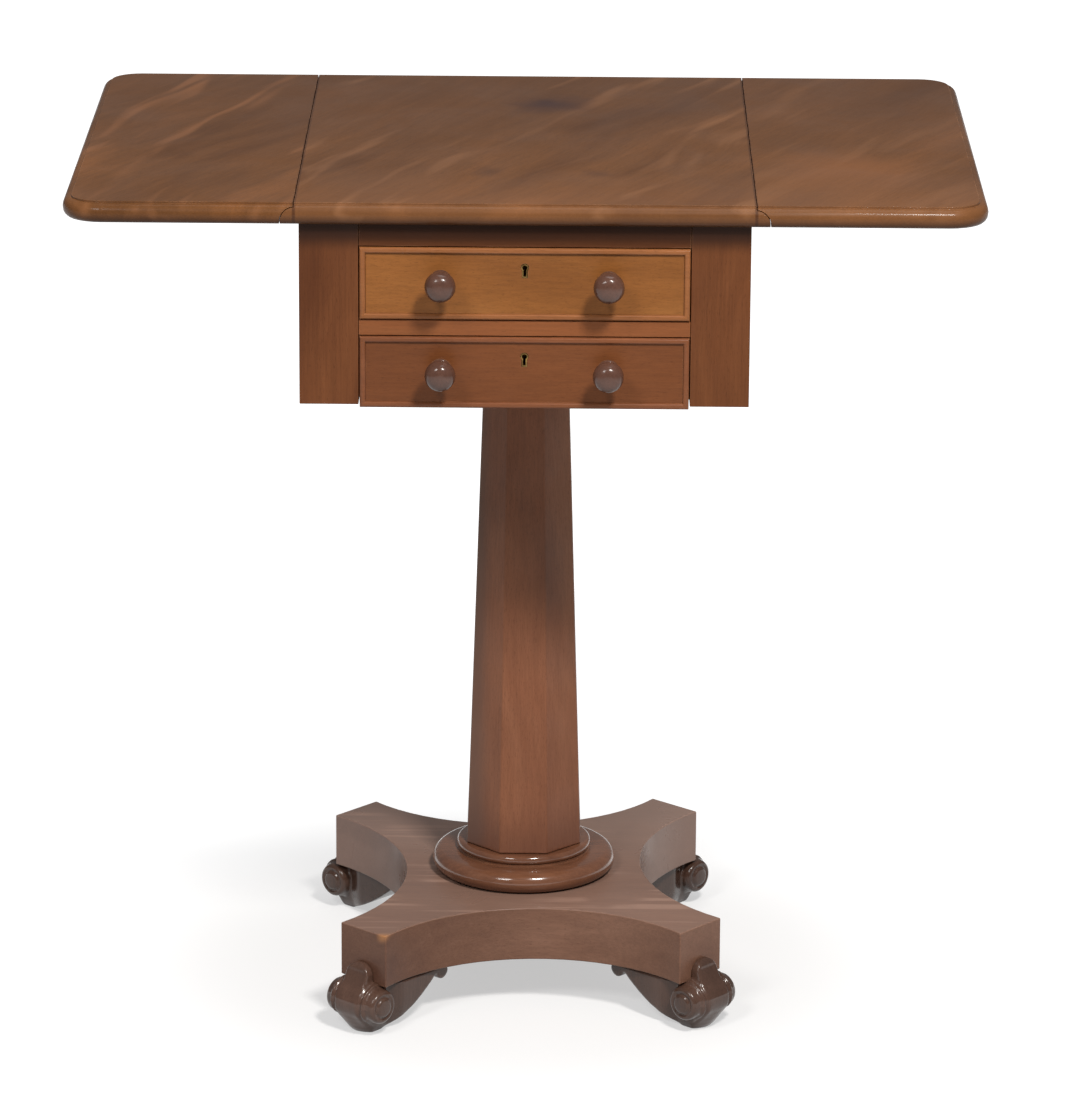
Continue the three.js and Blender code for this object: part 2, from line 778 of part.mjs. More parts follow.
// Points on a shallow curve between two places, bowed to the right of its run
function bowed([u0, v0], [u1, v1], bow, steps) {
  const points = [];
  for (let i = 0; i <= steps; i++) {
    const share = i / steps;
    const lift = (4 * bow * share * (1 - share)) / Math.hypot(u1 - u0, v1 - v0);
    points.push([u0 + share * (u1 - u0) + lift * (v1 - v0), v0 + share * (v1 - v0) - lift * (u1 - u0)]);
  }
  return points;
}

// Side outline of a scroll foot in (s, z): curl, sweep to the sole, roll, and the tongue on the cant
function foot_side() {
  const top = platform_under - seam;
  const cant = (platform_half_width + platform_half_depth - platform_cant) / Math.SQRT2 + seam;
  const roll = foot_roll_radius;
  const roll_from = Math.asin((foot_roll_height - roll) / roll) - Math.PI / 4;
  const roll_to = THREE.MathUtils.degToRad(foot_roll_to_deg);
  const curl_from = THREE.MathUtils.degToRad(foot_curl_from_deg);
  const curl_height = top - foot_curl_drop;
  const small = foot_curl_radius;
  const curl = arc(foot_curl_centre, curl_height, small, small, curl_from, 2 * Math.PI, foot_steps);
  const sweep_start = [foot_curl_centre + small, curl_height];
  const sweep = bowed(sweep_start, [foot_floor_near, 0], foot_sweep_bow, foot_steps / 2);
  const roll_arc = arc(foot_roll_centre, foot_roll_height, roll, roll, roll_from, roll_to, foot_steps);
  const toe = bowed([foot_floor_far, 0], roll_arc[0], foot_toe_bow, foot_steps / 3);
  const thickness = foot_tongue_thickness;
  const crown_height = top + foot_tongue_height - thickness;
  const tongue = arc(cant, crown_height, thickness, thickness, 0, Math.PI / 2, foot_steps / 2);
  return polygon([...curl, ...sweep.slice(1), ...toe, ...roll_arc.slice(1), ...tongue, [cant, top]]);
}

// Front outline of a scroll foot in (t, z): a narrow rounded sole, the full roll and the rounded tongue
function foot_front() {
  const roll_top = foot_roll_height + foot_roll_radius + seam;
  const sole = foot_sole_width / 2;
  const wide = foot_width / 2;
  const narrow = foot_tongue_width / 2;
  const flank = arc(sole, foot_roll_height, wide - sole, foot_roll_height, -Math.PI / 2, 0, foot_steps / 2);
  const tongue_top = platform_under - seam + foot_tongue_height;
  const crown = arc(0, tongue_top - narrow, narrow, narrow, 0, Math.PI / 2, foot_steps / 2);
  const half = [...flank, [wide, roll_top], [narrow, roll_top], ...crown];
  const other = half.slice(0, -1).map(([t, z]) => [-t, z]).reverse();
  return polygon([...half, ...other]);
}

// A scroll foot, cut from a block by its side and front outlines, with a domed boss at each end of the roll
function scroll_foot() {
  const reach = foot_width / 2 + foot_boss_reach;
  const side = along_y(foot_side(), -foot_width / 2, foot_width / 2);
  const front = along_x(foot_front(), 0, 2 * platform_half_depth);
  let foot = side.intersect(front);
  const shoulder = reach - foot_boss_dome;
  const dome = arc(0, shoulder, foot_boss_radius, foot_boss_dome, 0, Math.PI / 2, foot_dome_steps);
  const profile = [[0, 0], [foot_boss_radius, 0], ...dome.slice(0, -1), [0, reach]];
  for (const side_sign of [-1, 1]) {
    const boss = turned(profile, finger_facets).rotateX((side_sign * Math.PI) / 2);
    foot = foot.add(solid(boss.translate(foot_roll_centre, 0, foot_roll_height)));
  }
  return foot;
}

// The assembly
const table = new THREE.Group();
const fixed = new THREE.Group();
fixed.position.y = depth_shift;
table.add(fixed);

function piece(parent, name, body, material) {
  const geometry = body.isBufferGeometry ? body : shell(body);
  const mesh = new THREE.Mesh(geometry, material());
  mesh.name = name;
  parent.add(mesh);
  return mesh;
}

// A group turned half round the table's middle, for the left-hand copies of right-hand pieces
function sided(side) {
  const group = new THREE.Group();
  group.rotation.z = side === "left" ? Math.PI : 0;
  fixed.add(group);
  return group;
}

function mirrored(body, side) {
  return side === "left" ? body.mirror([1, 0, 0]) : body;
}

function build_top() {
  const slab = moulded_slab();
  piece(fixed, "top_board", centre_board(slab), mahogany);
  for (const side of ["left", "right"]) {
    const group = sided(side);
    piece(group, `leaf_${side}`, right_leaf(slab), mahogany);
    const ends = side === "left" ? ["rear", "front"] : ["front", "rear"];
    hinge_places().forEach((y, i) => {
      piece(group, `hinge_board_plate_${side}_${ends[i]}`, hinge_board_plate(y), iron);
      piece(group, `hinge_leaf_plate_${side}_${ends[i]}`, hinge_leaf_plate(y), iron);
    });
  }
}

function build_carcase() {
  const rail_low = carcase_top - top_rail_height + seam;
  const rail_half = opening_half - seam;
  const rail = block(-rail_half, rail_half, front_face, frame_back, rail_low, carcase_top);
  piece(fixed, "top_rail", rail, mahogany);
  const divider_high = divider_low + divider_height;
  const divider = block(-rail_half, rail_half, front_face, frame_back, divider_low, divider_high);
  piece(fixed, "drawer_divider", divider, mahogany);
  const back_inner = back_face - back_thickness;
  const back = block(-carcase_half, carcase_half, back_inner, back_face, carcase_bottom, carcase_top);
  piece(fixed, "back_board", back, mahogany);
  const floor_half = side_inner - seam;
  const floor_top = carcase_bottom + bottom_thickness;
  const floor = block(-floor_half, floor_half, inside_front, inside_back, carcase_bottom, floor_top);
  piece(fixed, "bottom_board", floor, pine);
  for (const side of ["left", "right"]) {
    const stile = block(opening_half, carcase_half, front_face, frame_back, carcase_bottom, carcase_top);
    piece(fixed, `front_stile_${side}`, mirrored(stile, side), mahogany);
    const board = block(side_inner, side_outer, inside_front, inside_back, carcase_bottom, carcase_top);
    piece(fixed, `side_board_${side}`, mirrored(board, side), pine);
    piece(fixed, `drawer_runner_${side}`, mirrored(upper_runner(), side), pine);
    piece(fixed, `drawer_guide_${side}`, mirrored(lower_guide(), side), pine);
    const group = sided(side);
    const ends = side === "left" ? [-inside_back, -inside_front] : [inside_front, inside_back];
    piece(group, `fly_rail_${side}`, fly_rail(...ends), mahogany);
    piece(group, `fly_bracket_${side}`, fly_bracket(), mahogany);
    piece(group, `bracket_pin_${side}`, bracket_pin(), iron);
  }
}

function build_drawer(name, size) {
  piece(fixed, `${name}_front`, drawer_front(size), drawer_mahogany);
  piece(fixed, `${name}_cock_bead`, cock_bead(size), mahogany);
  piece(fixed, `${name}_back`, drawer_back(size), pine);
  piece(fixed, `${name}_bottom`, drawer_bottom(size), pine);
  piece(fixed, `${name}_escutcheon`, escutcheon(size), brass);
  piece(fixed, `${name}_lock`, drawer_lock(size), brass);
  for (const [side, sign] of [["left", -1], ["right", 1]]) {
    piece(fixed, `${name}_side_${side}`, mirrored(drawer_side(size), side), pine);
    piece(fixed, `${name}_knob_${side}`, knob(sign, size), knob_mahogany);
  }
}

function build_pedestal() {
  piece(fixed, "pillar_cleat", cleat(), mahogany);
  piece(fixed, "pillar", pillar(), base_mahogany);
  piece(fixed, "pillar_collar", collar(), base_mahogany);
  const base = new THREE.Group();
  base.rotation.z = THREE.MathUtils.degToRad(base_turn_deg);
  fixed.add(base);
  piece(base, "platform", platform(), base_mahogany);
  const corners = ["rear_right", "rear_left", "front_left", "front_right"];
  const cant_shift = (platform_half_depth - platform_half_width) / Math.SQRT2; // of a cant off the diagonal
  corners.forEach((corner, i) => {
    const group = new THREE.Group();
    group.rotation.z = Math.PI / 4 + (i * Math.PI) / 2;
    base.add(group);
    const foot = scroll_foot().translate([0, i % 2 ? -cant_shift : cant_shift, 0]);
    piece(group, `scroll_foot_${corner}`, foot, base_mahogany);
  });
}

build_top();
build_carcase();
const upper_edges = [upper_opening + drawer_play, upper_opening + upper_opening_height - drawer_play];
const lower_edges = [carcase_bottom - drawer_drop, divider_low - drawer_play];
build_drawer("upper_drawer", drawer_sizes(...upper_edges, upper_opening));
build_drawer("lower_drawer", drawer_sizes(...lower_edges, carcase_bottom + bottom_thickness));
build_pedestal();

export default table;
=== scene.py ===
"""Looks of the work table: woods, iron and brass, finer turned and carved pieces, light and camera.
Everything is in metres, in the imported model's own frame."""
import json
import math

import bmesh
import bpy
from mathutils import Matrix, Vector


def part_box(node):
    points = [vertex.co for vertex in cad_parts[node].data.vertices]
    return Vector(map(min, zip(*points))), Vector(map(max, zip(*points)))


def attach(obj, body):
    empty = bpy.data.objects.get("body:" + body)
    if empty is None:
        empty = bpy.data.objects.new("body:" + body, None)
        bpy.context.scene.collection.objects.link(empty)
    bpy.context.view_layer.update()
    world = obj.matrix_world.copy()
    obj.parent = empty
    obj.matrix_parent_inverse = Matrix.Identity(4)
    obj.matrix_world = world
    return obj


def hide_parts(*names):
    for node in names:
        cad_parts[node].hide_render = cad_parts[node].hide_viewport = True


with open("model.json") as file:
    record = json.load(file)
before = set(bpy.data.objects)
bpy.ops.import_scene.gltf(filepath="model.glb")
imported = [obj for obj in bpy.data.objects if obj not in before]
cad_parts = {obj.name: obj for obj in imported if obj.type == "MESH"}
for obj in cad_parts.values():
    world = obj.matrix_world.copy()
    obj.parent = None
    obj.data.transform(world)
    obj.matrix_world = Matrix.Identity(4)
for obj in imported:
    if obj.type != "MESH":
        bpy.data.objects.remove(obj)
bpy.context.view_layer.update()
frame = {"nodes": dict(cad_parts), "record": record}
nodes = frame["nodes"]
scene = bpy.context.scene

# Photograph in pixels, and the camera fitted to it: angles in radians, sensor in millimetres
PHOTO_SIZE = (1080, 1101)
FOCAL_PX = 5967.2
CAMERA_PLACE = Vector((0.0358, -4.7979, 1.8116))
CAMERA_YAW = -0.0049
CAMERA_PITCH = 0.2916
CAMERA_ROLL = 0.0065
SENSOR = 36.0
CAMERA_SIGHT = 50

# The base's own turn under the pillar, and the middle of the table
BASE_TURN = math.radians(3.2)
MIDDLE = (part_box("pillar")[0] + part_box("pillar")[1]) / 2


def camera_basis():
    """Right, up and forward of the fitted camera."""
    ahead = Vector((math.sin(CAMERA_YAW), math.cos(CAMERA_YAW), 0))
    right = Vector((math.cos(CAMERA_YAW), -math.sin(CAMERA_YAW), 0))
    up = Vector((0, 0, 1))
    forward = math.cos(CAMERA_PITCH) * ahead - math.sin(CAMERA_PITCH) * up
    above = math.sin(CAMERA_PITCH) * ahead + math.cos(CAMERA_PITCH) * up
    rolled_right = math.cos(CAMERA_ROLL) * right + math.sin(CAMERA_ROLL) * above
    rolled_up = -math.sin(CAMERA_ROLL) * right + math.cos(CAMERA_ROLL) * above
    return rolled_right, rolled_up, forward


def add_camera():
    right, up, forward = camera_basis()
    camera = bpy.data.cameras.new("camera")
    camera.sensor_width = SENSOR
    camera.lens = FOCAL_PX / max(PHOTO_SIZE) * SENSOR
    camera.clip_end = CAMERA_SIGHT
    holder = bpy.data.objects.new("camera", camera)
    turn = Matrix((right, up, -forward)).transposed().to_4x4()
    holder.matrix_world = Matrix.Translation(CAMERA_PLACE) @ turn
    scene.collection.objects.link(holder)
    scene.camera = holder


# Lamps, the point that they are turned to, and the soft light all round
LIGHTS = [
    # name, place, size across and up, power in watts, colour
    ("key", (0.9, -2.15, 3.02), (0.5, 0.5), 106, (1.0, 0.97, 0.93)),
    ("fill", (-1.3, -2.5, 2.7), (0.8, 0.8), 38, (1.0, 0.98, 0.96)),
    ("overhead", (0.2, 0.2, 2.9), (1.6, 1.2), 16, (1.0, 1.0, 1.0)),
]
AIM = Vector((0, 0, 0.42))
WORLD_COLOUR = (0.98, 0.99, 1, 1)
WORLD_STRENGTH = 0.22
WHITE = (1, 1, 1, 1)


def add_lights():
    for name, place, (across, up), power, colour in LIGHTS:
        light = bpy.data.lights.new(name, "AREA")
        light.shape = "RECTANGLE"
        light.size = across
        light.size_y = up
        light.energy = power
        light.color = colour
        holder = bpy.data.objects.new(name, light)
        holder.location = place
        holder.rotation_euler = (AIM - Vector(place)).to_track_quat("-Z", "Y").to_euler()
        scene.collection.objects.link(holder)


def add_world():
    """Soft even light all round, and plain white where the camera looks past the table."""
    world = bpy.data.worlds.new("studio")
    world.use_nodes = True
    tree = world.node_tree
    tree.nodes.clear()
    path = tree.nodes.new("ShaderNodeLightPath")
    soft = tree.nodes.new("ShaderNodeBackground")
    soft.inputs["Color"].default_value = WORLD_COLOUR
    soft.inputs["Strength"].default_value = WORLD_STRENGTH
    white = tree.nodes.new("ShaderNodeBackground")
    white.inputs["Color"].default_value = WHITE
    white.inputs["Strength"].default_value = 1
    mixed = tree.nodes.new("ShaderNodeMixShader")
    out = tree.nodes.new("ShaderNodeOutputWorld")
    tree.links.new(path.outputs["Is Camera Ray"], mixed.inputs[0])
    tree.links.new(soft.outputs[0], mixed.inputs[1])
    tree.links.new(white.outputs[0], mixed.inputs[2])
    tree.links.new(mixed.outputs[0], out.inputs["Surface"])
    scene.world = world


# Floor: half its width, and its surface
FLOOR_HALF = 8
FLOOR_COLOUR = (0.46, 0.46, 0.463, 1)
FLOOR_ROUGHNESS = 0.8
FLOOR_SPECULAR = 0.15

# The floor's own light lifts it to white away from the table, and less under it, where its shadow shows
NEAR = 0.2
NEAR_GLOW = 0.52
FAR = 0.6
FAR_GLOW = 1.0


def add_floor():
    mesh = bpy.data.meshes.new("floor")
    corners = [(x * FLOOR_HALF, y * FLOOR_HALF, 0) for x, y in ((-1, -1), (1, -1), (1, 1), (-1, 1))]
    mesh.from_pydata(corners, [], [(0, 1, 2, 3)])
    floor = bpy.data.objects.new("floor", mesh)
    scene.collection.objects.link(floor)
    made = Shading("floor")
    made.shader.inputs["Base Color"].default_value = FLOOR_COLOUR
    made.shader.inputs["Roughness"].default_value = FLOOR_ROUGHNESS
    made.shader.inputs["Specular IOR Level"].default_value = FLOOR_SPECULAR
    path = made.tree.nodes.new("ShaderNodeLightPath")
    seen = made.math("MAXIMUM", path.outputs["Is Camera Ray"], path.outputs["Is Glossy Ray"])
    glow = made.tree.nodes.new("ShaderNodeEmission")
    glow.inputs["Color"].default_value = WHITE
    lift = made.rise(made.length(made.place()), NEAR, FAR, NEAR_GLOW, FAR_GLOW)
    made.put(glow.inputs["Strength"], made.math("MULTIPLY", seen, lift))
    both = made.tree.nodes.new("ShaderNodeAddShader")
    made.put(both.inputs[0], made.shader.outputs[0])
    made.put(both.inputs[1], glow.outputs[0])
    made.put(made.tree.nodes["Material Output"].inputs["Surface"], both.outputs[0])
    mesh.materials.append(made.material)


# Worn edges
EDGE_SAMPLES = 4  # of the rounded normal
EDGE_STOPS = [(0.72, 1.0), (0.97, 0.0)]  # how far it agrees with the true one, and the wear there
EDGE_BREAKS = [(0.38, 0.0), (0.66, 1.0)]


class Shading:
    """A material's node tree with short calls for the nodes that the woods and metals use."""

    def __init__(self, name):
        self.material = bpy.data.materials.new(name)
        self.material.use_nodes = True
        self.tree = self.material.node_tree
        self.shader = self.tree.nodes["Principled BSDF"]

    def put(self, socket, value):
        if isinstance(value, bpy.types.NodeSocket):
            self.tree.links.new(value, socket)
        else:
            socket.default_value = value

    def place(self, turn=(0, 0, 0), scale=(1, 1, 1), shift=(0, 0, 0)):
        """The piece's own coordinates in metres, turned and scaled."""
        coordinates = self.tree.nodes.new("ShaderNodeTexCoord")
        mapping = self.tree.nodes.new("ShaderNodeMapping")
        mapping.vector_type = "POINT"
        self.tree.links.new(coordinates.outputs["Object"], mapping.inputs["Vector"])
        mapping.inputs["Location"].default_value = shift
        mapping.inputs["Rotation"].default_value = turn
        mapping.inputs["Scale"].default_value = scale
        return mapping.outputs["Vector"]

    def stretch(self, vector, scale):
        mapping = self.tree.nodes.new("ShaderNodeMapping")
        self.tree.links.new(vector, mapping.inputs["Vector"])
        mapping.inputs["Scale"].default_value = scale
        return mapping.outputs["Vector"]

    def noise(self, vector, detail=3.0, roughness=0.55, distortion=0.0, scale=1.0):
        made = self.tree.nodes.new("ShaderNodeTexNoise")
        self.tree.links.new(vector, made.inputs["Vector"])
        made.inputs["Scale"].default_value = scale
        made.inputs["Detail"].default_value = detail
        made.inputs["Roughness"].default_value = roughness
        made.inputs["Distortion"].default_value = distortion
        return made.outputs[0]

    def vector_math(self, operation, a, b=None):
        made = self.tree.nodes.new("ShaderNodeVectorMath")
        made.operation = operation
        self.put(made.inputs[0], a)
        if b is not None:
            self.put(made.inputs[1], b)
        return made

    def warp(self, vector, scale, amount, detail=1.5):
        """The coordinates pushed about by a soft colour noise, in metres."""
        made = self.tree.nodes.new("ShaderNodeTexNoise")
        self.tree.links.new(vector, made.inputs["Vector"])
        made.inputs["Scale"].default_value = scale
        made.inputs["Detail"].default_value = detail
        centred = self.vector_math("SUBTRACT", made.outputs["Color"], (0.5, 0.5, 0.5))
        scaled = self.vector_math("SCALE", centred.outputs[0])
        scaled.inputs["Scale"].default_value = amount
        return self.vector_math("ADD", vector, scaled.outputs[0]).outputs[0]

    def ramp(self, value, stops):
        """A value mapped through colour or grey stops."""
        made = self.tree.nodes.new("ShaderNodeValToRGB")
        self.tree.links.new(value, made.inputs[0])
        band = made.color_ramp
        band.interpolation = "EASE"
        while len(band.elements) < len(stops):
            band.elements.new(1.0)
        for element, (position, colour) in zip(band.elements, stops):
            element.position = position
            grey = isinstance(colour, (int, float))
            element.color = (colour, colour, colour, 1) if grey else (*colour, 1)
        return made.outputs["Color"]

    def math(self, operation, a, b=0.0, c=0.0):
        made = self.tree.nodes.new("ShaderNodeMath")
        made.operation = operation
        for socket, value in zip(made.inputs, (a, b, c)):
            self.put(socket, value)
        return made.outputs[0]

    def mix(self, factor, a, b, blend="MIX"):
        made = self.tree.nodes.new("ShaderNodeMix")
        made.data_type = "RGBA"
        made.blend_type = blend
        made.clamp_factor = True
        self.put(made.inputs[0], factor)
        self.put(made.inputs[6], a)
        self.put(made.inputs[7], b)
        return made.outputs[2]

    def length(self, vector):
        return self.vector_math("LENGTH", vector).outputs["Value"]

    def rise(self, value, start, end, low, high):
        """Goes smoothly from low, where the value is at start, to high, where it is at end."""
        made = self.tree.nodes.new("ShaderNodeMapRange")
        made.interpolation_type = "SMOOTHSTEP"
        self.tree.links.new(value, made.inputs["Value"])
        for socket, amount in (("From Min", start), ("From Max", end), ("To Min", low), ("To Max", high)):
            made.inputs[socket].default_value = amount
        return made.outputs[0]

    def axis(self, name):
        """One coordinate of the piece, in metres."""
        split = self.tree.nodes.new("ShaderNodeSeparateXYZ")
        self.tree.links.new(self.place(), split.inputs[0])
        return split.outputs[name]

    def edge_mask(self, radius, vector, patchy):
        """Bright along worn edges: where a rounded normal leaves the true one, broken up by noise."""
        bevel = self.tree.nodes.new("ShaderNodeBevel")
        bevel.samples = EDGE_SAMPLES
        bevel.inputs["Radius"].default_value = radius
        geometry = self.tree.nodes.new("ShaderNodeNewGeometry")
        agreement = self.vector_math("DOT_PRODUCT", bevel.outputs[0], geometry.outputs["Normal"])
        edge = self.ramp(agreement.outputs["Value"], EDGE_STOPS)
        broken = self.ramp(self.noise(vector, 3, 0.6, 0, patchy), EDGE_BREAKS)
        return self.math("MULTIPLY", edge, broken)

    def bump(self, height, distance, strength=1.0):
        made = self.tree.nodes.new("ShaderNodeBump")
        made.inputs["Strength"].default_value = strength
        made.inputs["Distance"].default_value = distance
        self.tree.links.new(height, made.inputs["Height"])
        self.tree.links.new(made.outputs[0], self.shader.inputs["Normal"])


def srgb(r, g, b):
    """A colour read off a screen, 0 to 255, as linear light."""
    def linear(v):
        v = v / 255
        return v / 12.92 if v <= 0.04045 else ((v + 0.055) / 1.055) ** 2.4
    return (linear(r), linear(g), linear(b))


def opaque(tint):
    """A screen colour with the fourth value that a colour socket takes."""
    return (*srgb(*tint), 1)


# Dark, middle and light tone of each wood, and dark and light tone of each metal, as a screen shows them
TONES = {
    "top": ((80, 49, 27), (104, 67, 38), (125, 80, 45)),
    "carcase": ((80, 43, 24), (108, 64, 37), (130, 81, 49)),
    "divider": ((110, 62, 34), (136, 81, 46), (158, 101, 61)),
    "upper_drawer": ((114, 68, 31), (140, 88, 43), (158, 105, 56)),
    "lower_drawer": ((92, 51, 27), (114, 66, 36), (130, 79, 46)),
    "upper_bead": ((112, 66, 34), (146, 92, 54), (168, 112, 68)),
    "lower_bead": ((96, 54, 32), (126, 76, 48), (148, 96, 62)),
    "knob": ((64, 41, 32), (90, 61, 50), (114, 81, 67)),
    "pillar": ((88, 52, 36), (130, 84, 60), (156, 108, 80)),
    "collar": ((84, 52, 38), (122, 80, 58), (150, 104, 78)),
    "platform": ((94, 64, 52), (120, 86, 69), (142, 106, 88)),
    "foot": ((50, 33, 27), (78, 56, 46), (106, 78, 66)),
    "pine": ((150, 108, 66), (186, 146, 98), (200, 164, 116)),
    "iron": ((48, 42, 38), (84, 76, 70)),
    "brass": ((92, 70, 38), (150, 120, 70)),
}

# Turns that lay the grain, which runs along the texture's own X, along a piece's X, Y or Z
GRAIN_TURNS = {"X": (0, 0, 0), "Y": (0, 0, -math.pi / 2), "Z": (0, math.pi / 2, 0)}

# Layers of polished wood, in cycles to the metre along the grain and twice across it
FIGURE = (2.6, 11, 11)
GROWTH = (4, 105, 105)
FIBRE = (22, 620, 620)
PORES = (150, 2600, 2600)
CLOUDS = 7.0
SMEARS = 11.0

# How the layers show
BEND = 0.06  # of the figure, in metres
BEND_SCALE = 5.0
FIBRES_SHOW = 0.14
CLOUDS_SHOW = 0.3
PORE_SHARE = 0.4  # of the dark tone
GRAIN_DEPTH = 0.0001
WORN_REACH = 0.0016
WORN_BREAKS = 26
SMEAR_SHINY = 0.06
SMEAR_DULL = 0.08
COAT_ROUGHNESS = 0.12


def wood(name, tones, grain, slant=0.0, flame=0.5, flame_scale=1.0, gloss=0.38, coat=0.0, wear=0.5,
         shift=(0, 0, 0), worn=(182, 132, 96), lines=0.2, specular=0.18, marks=()):
    """Polished wood. flame is how far the broad figure shows, and lines how far the growth lines do."""
    made = Shading(name)
    dark, middle, light = (srgb(*tint) for tint in TONES[tones])
    turn = list(GRAIN_TURNS[grain])
    turn[2] += slant
    base = made.place(tuple(turn), (1, 1, 1), shift)
    soft = made.warp(base, BEND_SCALE * flame_scale, BEND)
    broad = made.noise(made.stretch(soft, tuple(v * flame_scale for v in FIGURE)), 3, 0.5, 0.7)
    growth = made.noise(made.stretch(soft, GROWTH), 3, 0.55, 0.25)
    fibre = made.noise(made.stretch(base, FIBRE), 2, 0.6)
    pores = made.noise(made.stretch(base, PORES), 1, 0.5)
    colour = made.ramp(broad, [(0.28, dark), (0.5, middle), (0.72, light)])
    plain = made.mix(1 - flame, colour, (*middle, 1))
    lined = made.mix(lines, plain, made.ramp(growth, [(0.3, dark), (0.56, middle), (0.72, light)]))
    fibred = made.mix(FIBRES_SHOW, lined, made.ramp(fibre, [(0.3, 0.02), (0.7, 0.5)]), "OVERLAY")
    pore_tone = (*(level * PORE_SHARE for level in dark), 1)
    pored = made.mix(made.ramp(pores, [(0.3, 0.36), (0.4, 0.0)]), fibred, pore_tone)
    clouds = made.ramp(made.noise(base, 2, 0.5, 0, CLOUDS), [(0.3, 0.4), (0.7, 0.6)])
    toned = made.mix(CLOUDS_SHOW, pored, clouds, "OVERLAY")
    for mark in marks:
        toned = mark(made, toned)
    edge = made.edge_mask(WORN_REACH, base, WORN_BREAKS)
    final = made.mix(made.math("MULTIPLY", edge, wear), toned, opaque(worn))
    made.put(made.shader.inputs["Base Color"], final)
    smeared = [(0.3, gloss - SMEAR_SHINY), (0.7, gloss + SMEAR_DULL)]
    made.put(made.shader.inputs["Roughness"], made.ramp(made.noise(base, 4, 0.6, 0.4, SMEARS), smeared))
    made.shader.inputs["Specular IOR Level"].default_value = specular
    made.shader.inputs["Coat Weight"].default_value = coat
    made.shader.inputs["Coat Roughness"].default_value = COAT_ROUGHNESS
    height = made.math("ADD", made.math("MULTIPLY", growth, 0.5), made.math("MULTIPLY", fibre, 0.5))
    made.bump(height, GRAIN_DEPTH)
    return made.material


# Marks on the woods, in cycles to the metre, and the tone of dirt
PLUMES = (3.6, 34, 34)
PLUME_BEND_SCALE = 4.0
SCUFFS = (5, 130, 40)
SCUFF_BREAKS = 14.0
DIRT = (52, 28, 20)
SKIN = (0.0004, 0.0001)  # depths under a face at which a mark on that face alone begins and is full


# Each mark gives a function that takes the material and its colour so far, and returns the new colour
def patch(centre, reach, depth, tint, ragged=0.03, scale=30.0):
    """A soft oval patch of another tone: ink, wear and warmer places in the wood, and painted shadow on the
    pillar.
    """
    def paint(made, colour):
        place = made.warp(made.place(), scale, ragged)
        offset = made.vector_math("SUBTRACT", place, centre)
        shrunk = made.stretch(offset.outputs[0], tuple(1 / r for r in reach))
        inside = made.ramp(made.length(shrunk), [(0.0, depth), (1.0, 0.0)])
        return made.mix(inside, colour, opaque(tint))
    return paint


def plumes(amount, tint, slant, shift, low=0.54, high=0.72):
    """Sparse pale feathers of figure, longest along the slant."""
    def paint(made, colour):
        turned = made.place((0, 0, slant), (1, 1, 1), shift)
        bent = made.warp(turned, PLUME_BEND_SCALE, BEND)
        streak = made.noise(made.stretch(bent, PLUMES), 2, 0.5, 0.3)
        return made.mix(made.ramp(streak, [(low, 0.0), (high, amount)]), colour, opaque(tint))
    return paint


def stripes(level, tint, amount):
    """Pale scuffed streaks along X, on the face at this height alone."""
    def paint(made, colour):
        fine = made.noise(made.stretch(made.place(), SCUFFS), 2, 0.5, 0.1)
        broken = made.noise(made.place(), 2, 0.5, 0, SCUFF_BREAKS)
        streak = made.math("MULTIPLY", made.ramp(fine, [(0.52, 0.0), (0.66, 1.0)]),
                           made.ramp(broken, [(0.45, 0.0), (0.6, amount)]))
        on_face = made.rise(made.axis("Z"), level - SKIN[0], level - SKIN[1], 0, 1)
        return made.mix(made.math("MULTIPLY", streak, on_face), colour, opaque(tint))
    return paint


def along(axis, start, end, tint, amount):
    """A tone that grows from none at start to its full amount at end, along one axis."""
    def paint(made, colour):
        return made.mix(made.rise(made.axis(axis), start, end, 0, amount), colour, opaque(tint))
    return paint


def grime_at(line, reach, amount):
    """Dark dirt along the two joint lines of the top."""
    def paint(made, colour):
        off = made.math("ABSOLUTE", made.math("SUBTRACT", made.math("ABSOLUTE", made.axis("X")), line))
        dirt = made.ramp(made.math("DIVIDE", off, reach), [(0.35, amount), (1.0, 0.0)])
        return made.mix(dirt, colour, opaque(DIRT))
    return paint


# Bare pine's rings and fibres in cycles to the metre, its dirt, and how deep its fibres are
PINE_RINGS = (2.5, 70, 70)
PINE_FIBRE = (30, 700, 700)
PINE_BEND = 0.04
PINE_BEND_SCALE = 4.0
PINE_FIBRES_SHOW = 0.2
PINE_CLOUDS = 9.0
PINE_DIRT = (96, 70, 46)
PINE_DEPTH = 0.0002


def bare_pine(name, grain):
    """Unpolished secondary wood, dry and slightly grubby."""
    made = Shading(name)
    dark, middle, light = (srgb(*tint) for tint in TONES["pine"])
    base = made.place(GRAIN_TURNS[grain])
    soft = made.warp(base, PINE_BEND_SCALE, PINE_BEND)
    rings = made.noise(made.stretch(soft, PINE_RINGS), 3, 0.55, 0.4)
    fibre = made.noise(made.stretch(base, PINE_FIBRE), 2, 0.6)
    colour = made.ramp(rings, [(0.34, dark), (0.5, middle), (0.68, light)])
    fibred = made.mix(PINE_FIBRES_SHOW, colour, made.ramp(fibre, [(0.3, 0.1), (0.7, 0.6)]), "OVERLAY")
    grime = made.ramp(made.noise(base, 3, 0.6, 0, PINE_CLOUDS), [(0.4, 0.0), (0.8, 0.4)])
    made.put(made.shader.inputs["Base Color"], made.mix(grime, fibred, opaque(PINE_DIRT)))
    made.put(made.shader.inputs["Roughness"], made.ramp(fibre, [(0.3, 0.66), (0.7, 0.84)]))
    made.bump(fibre, PINE_DEPTH)
    return made.material


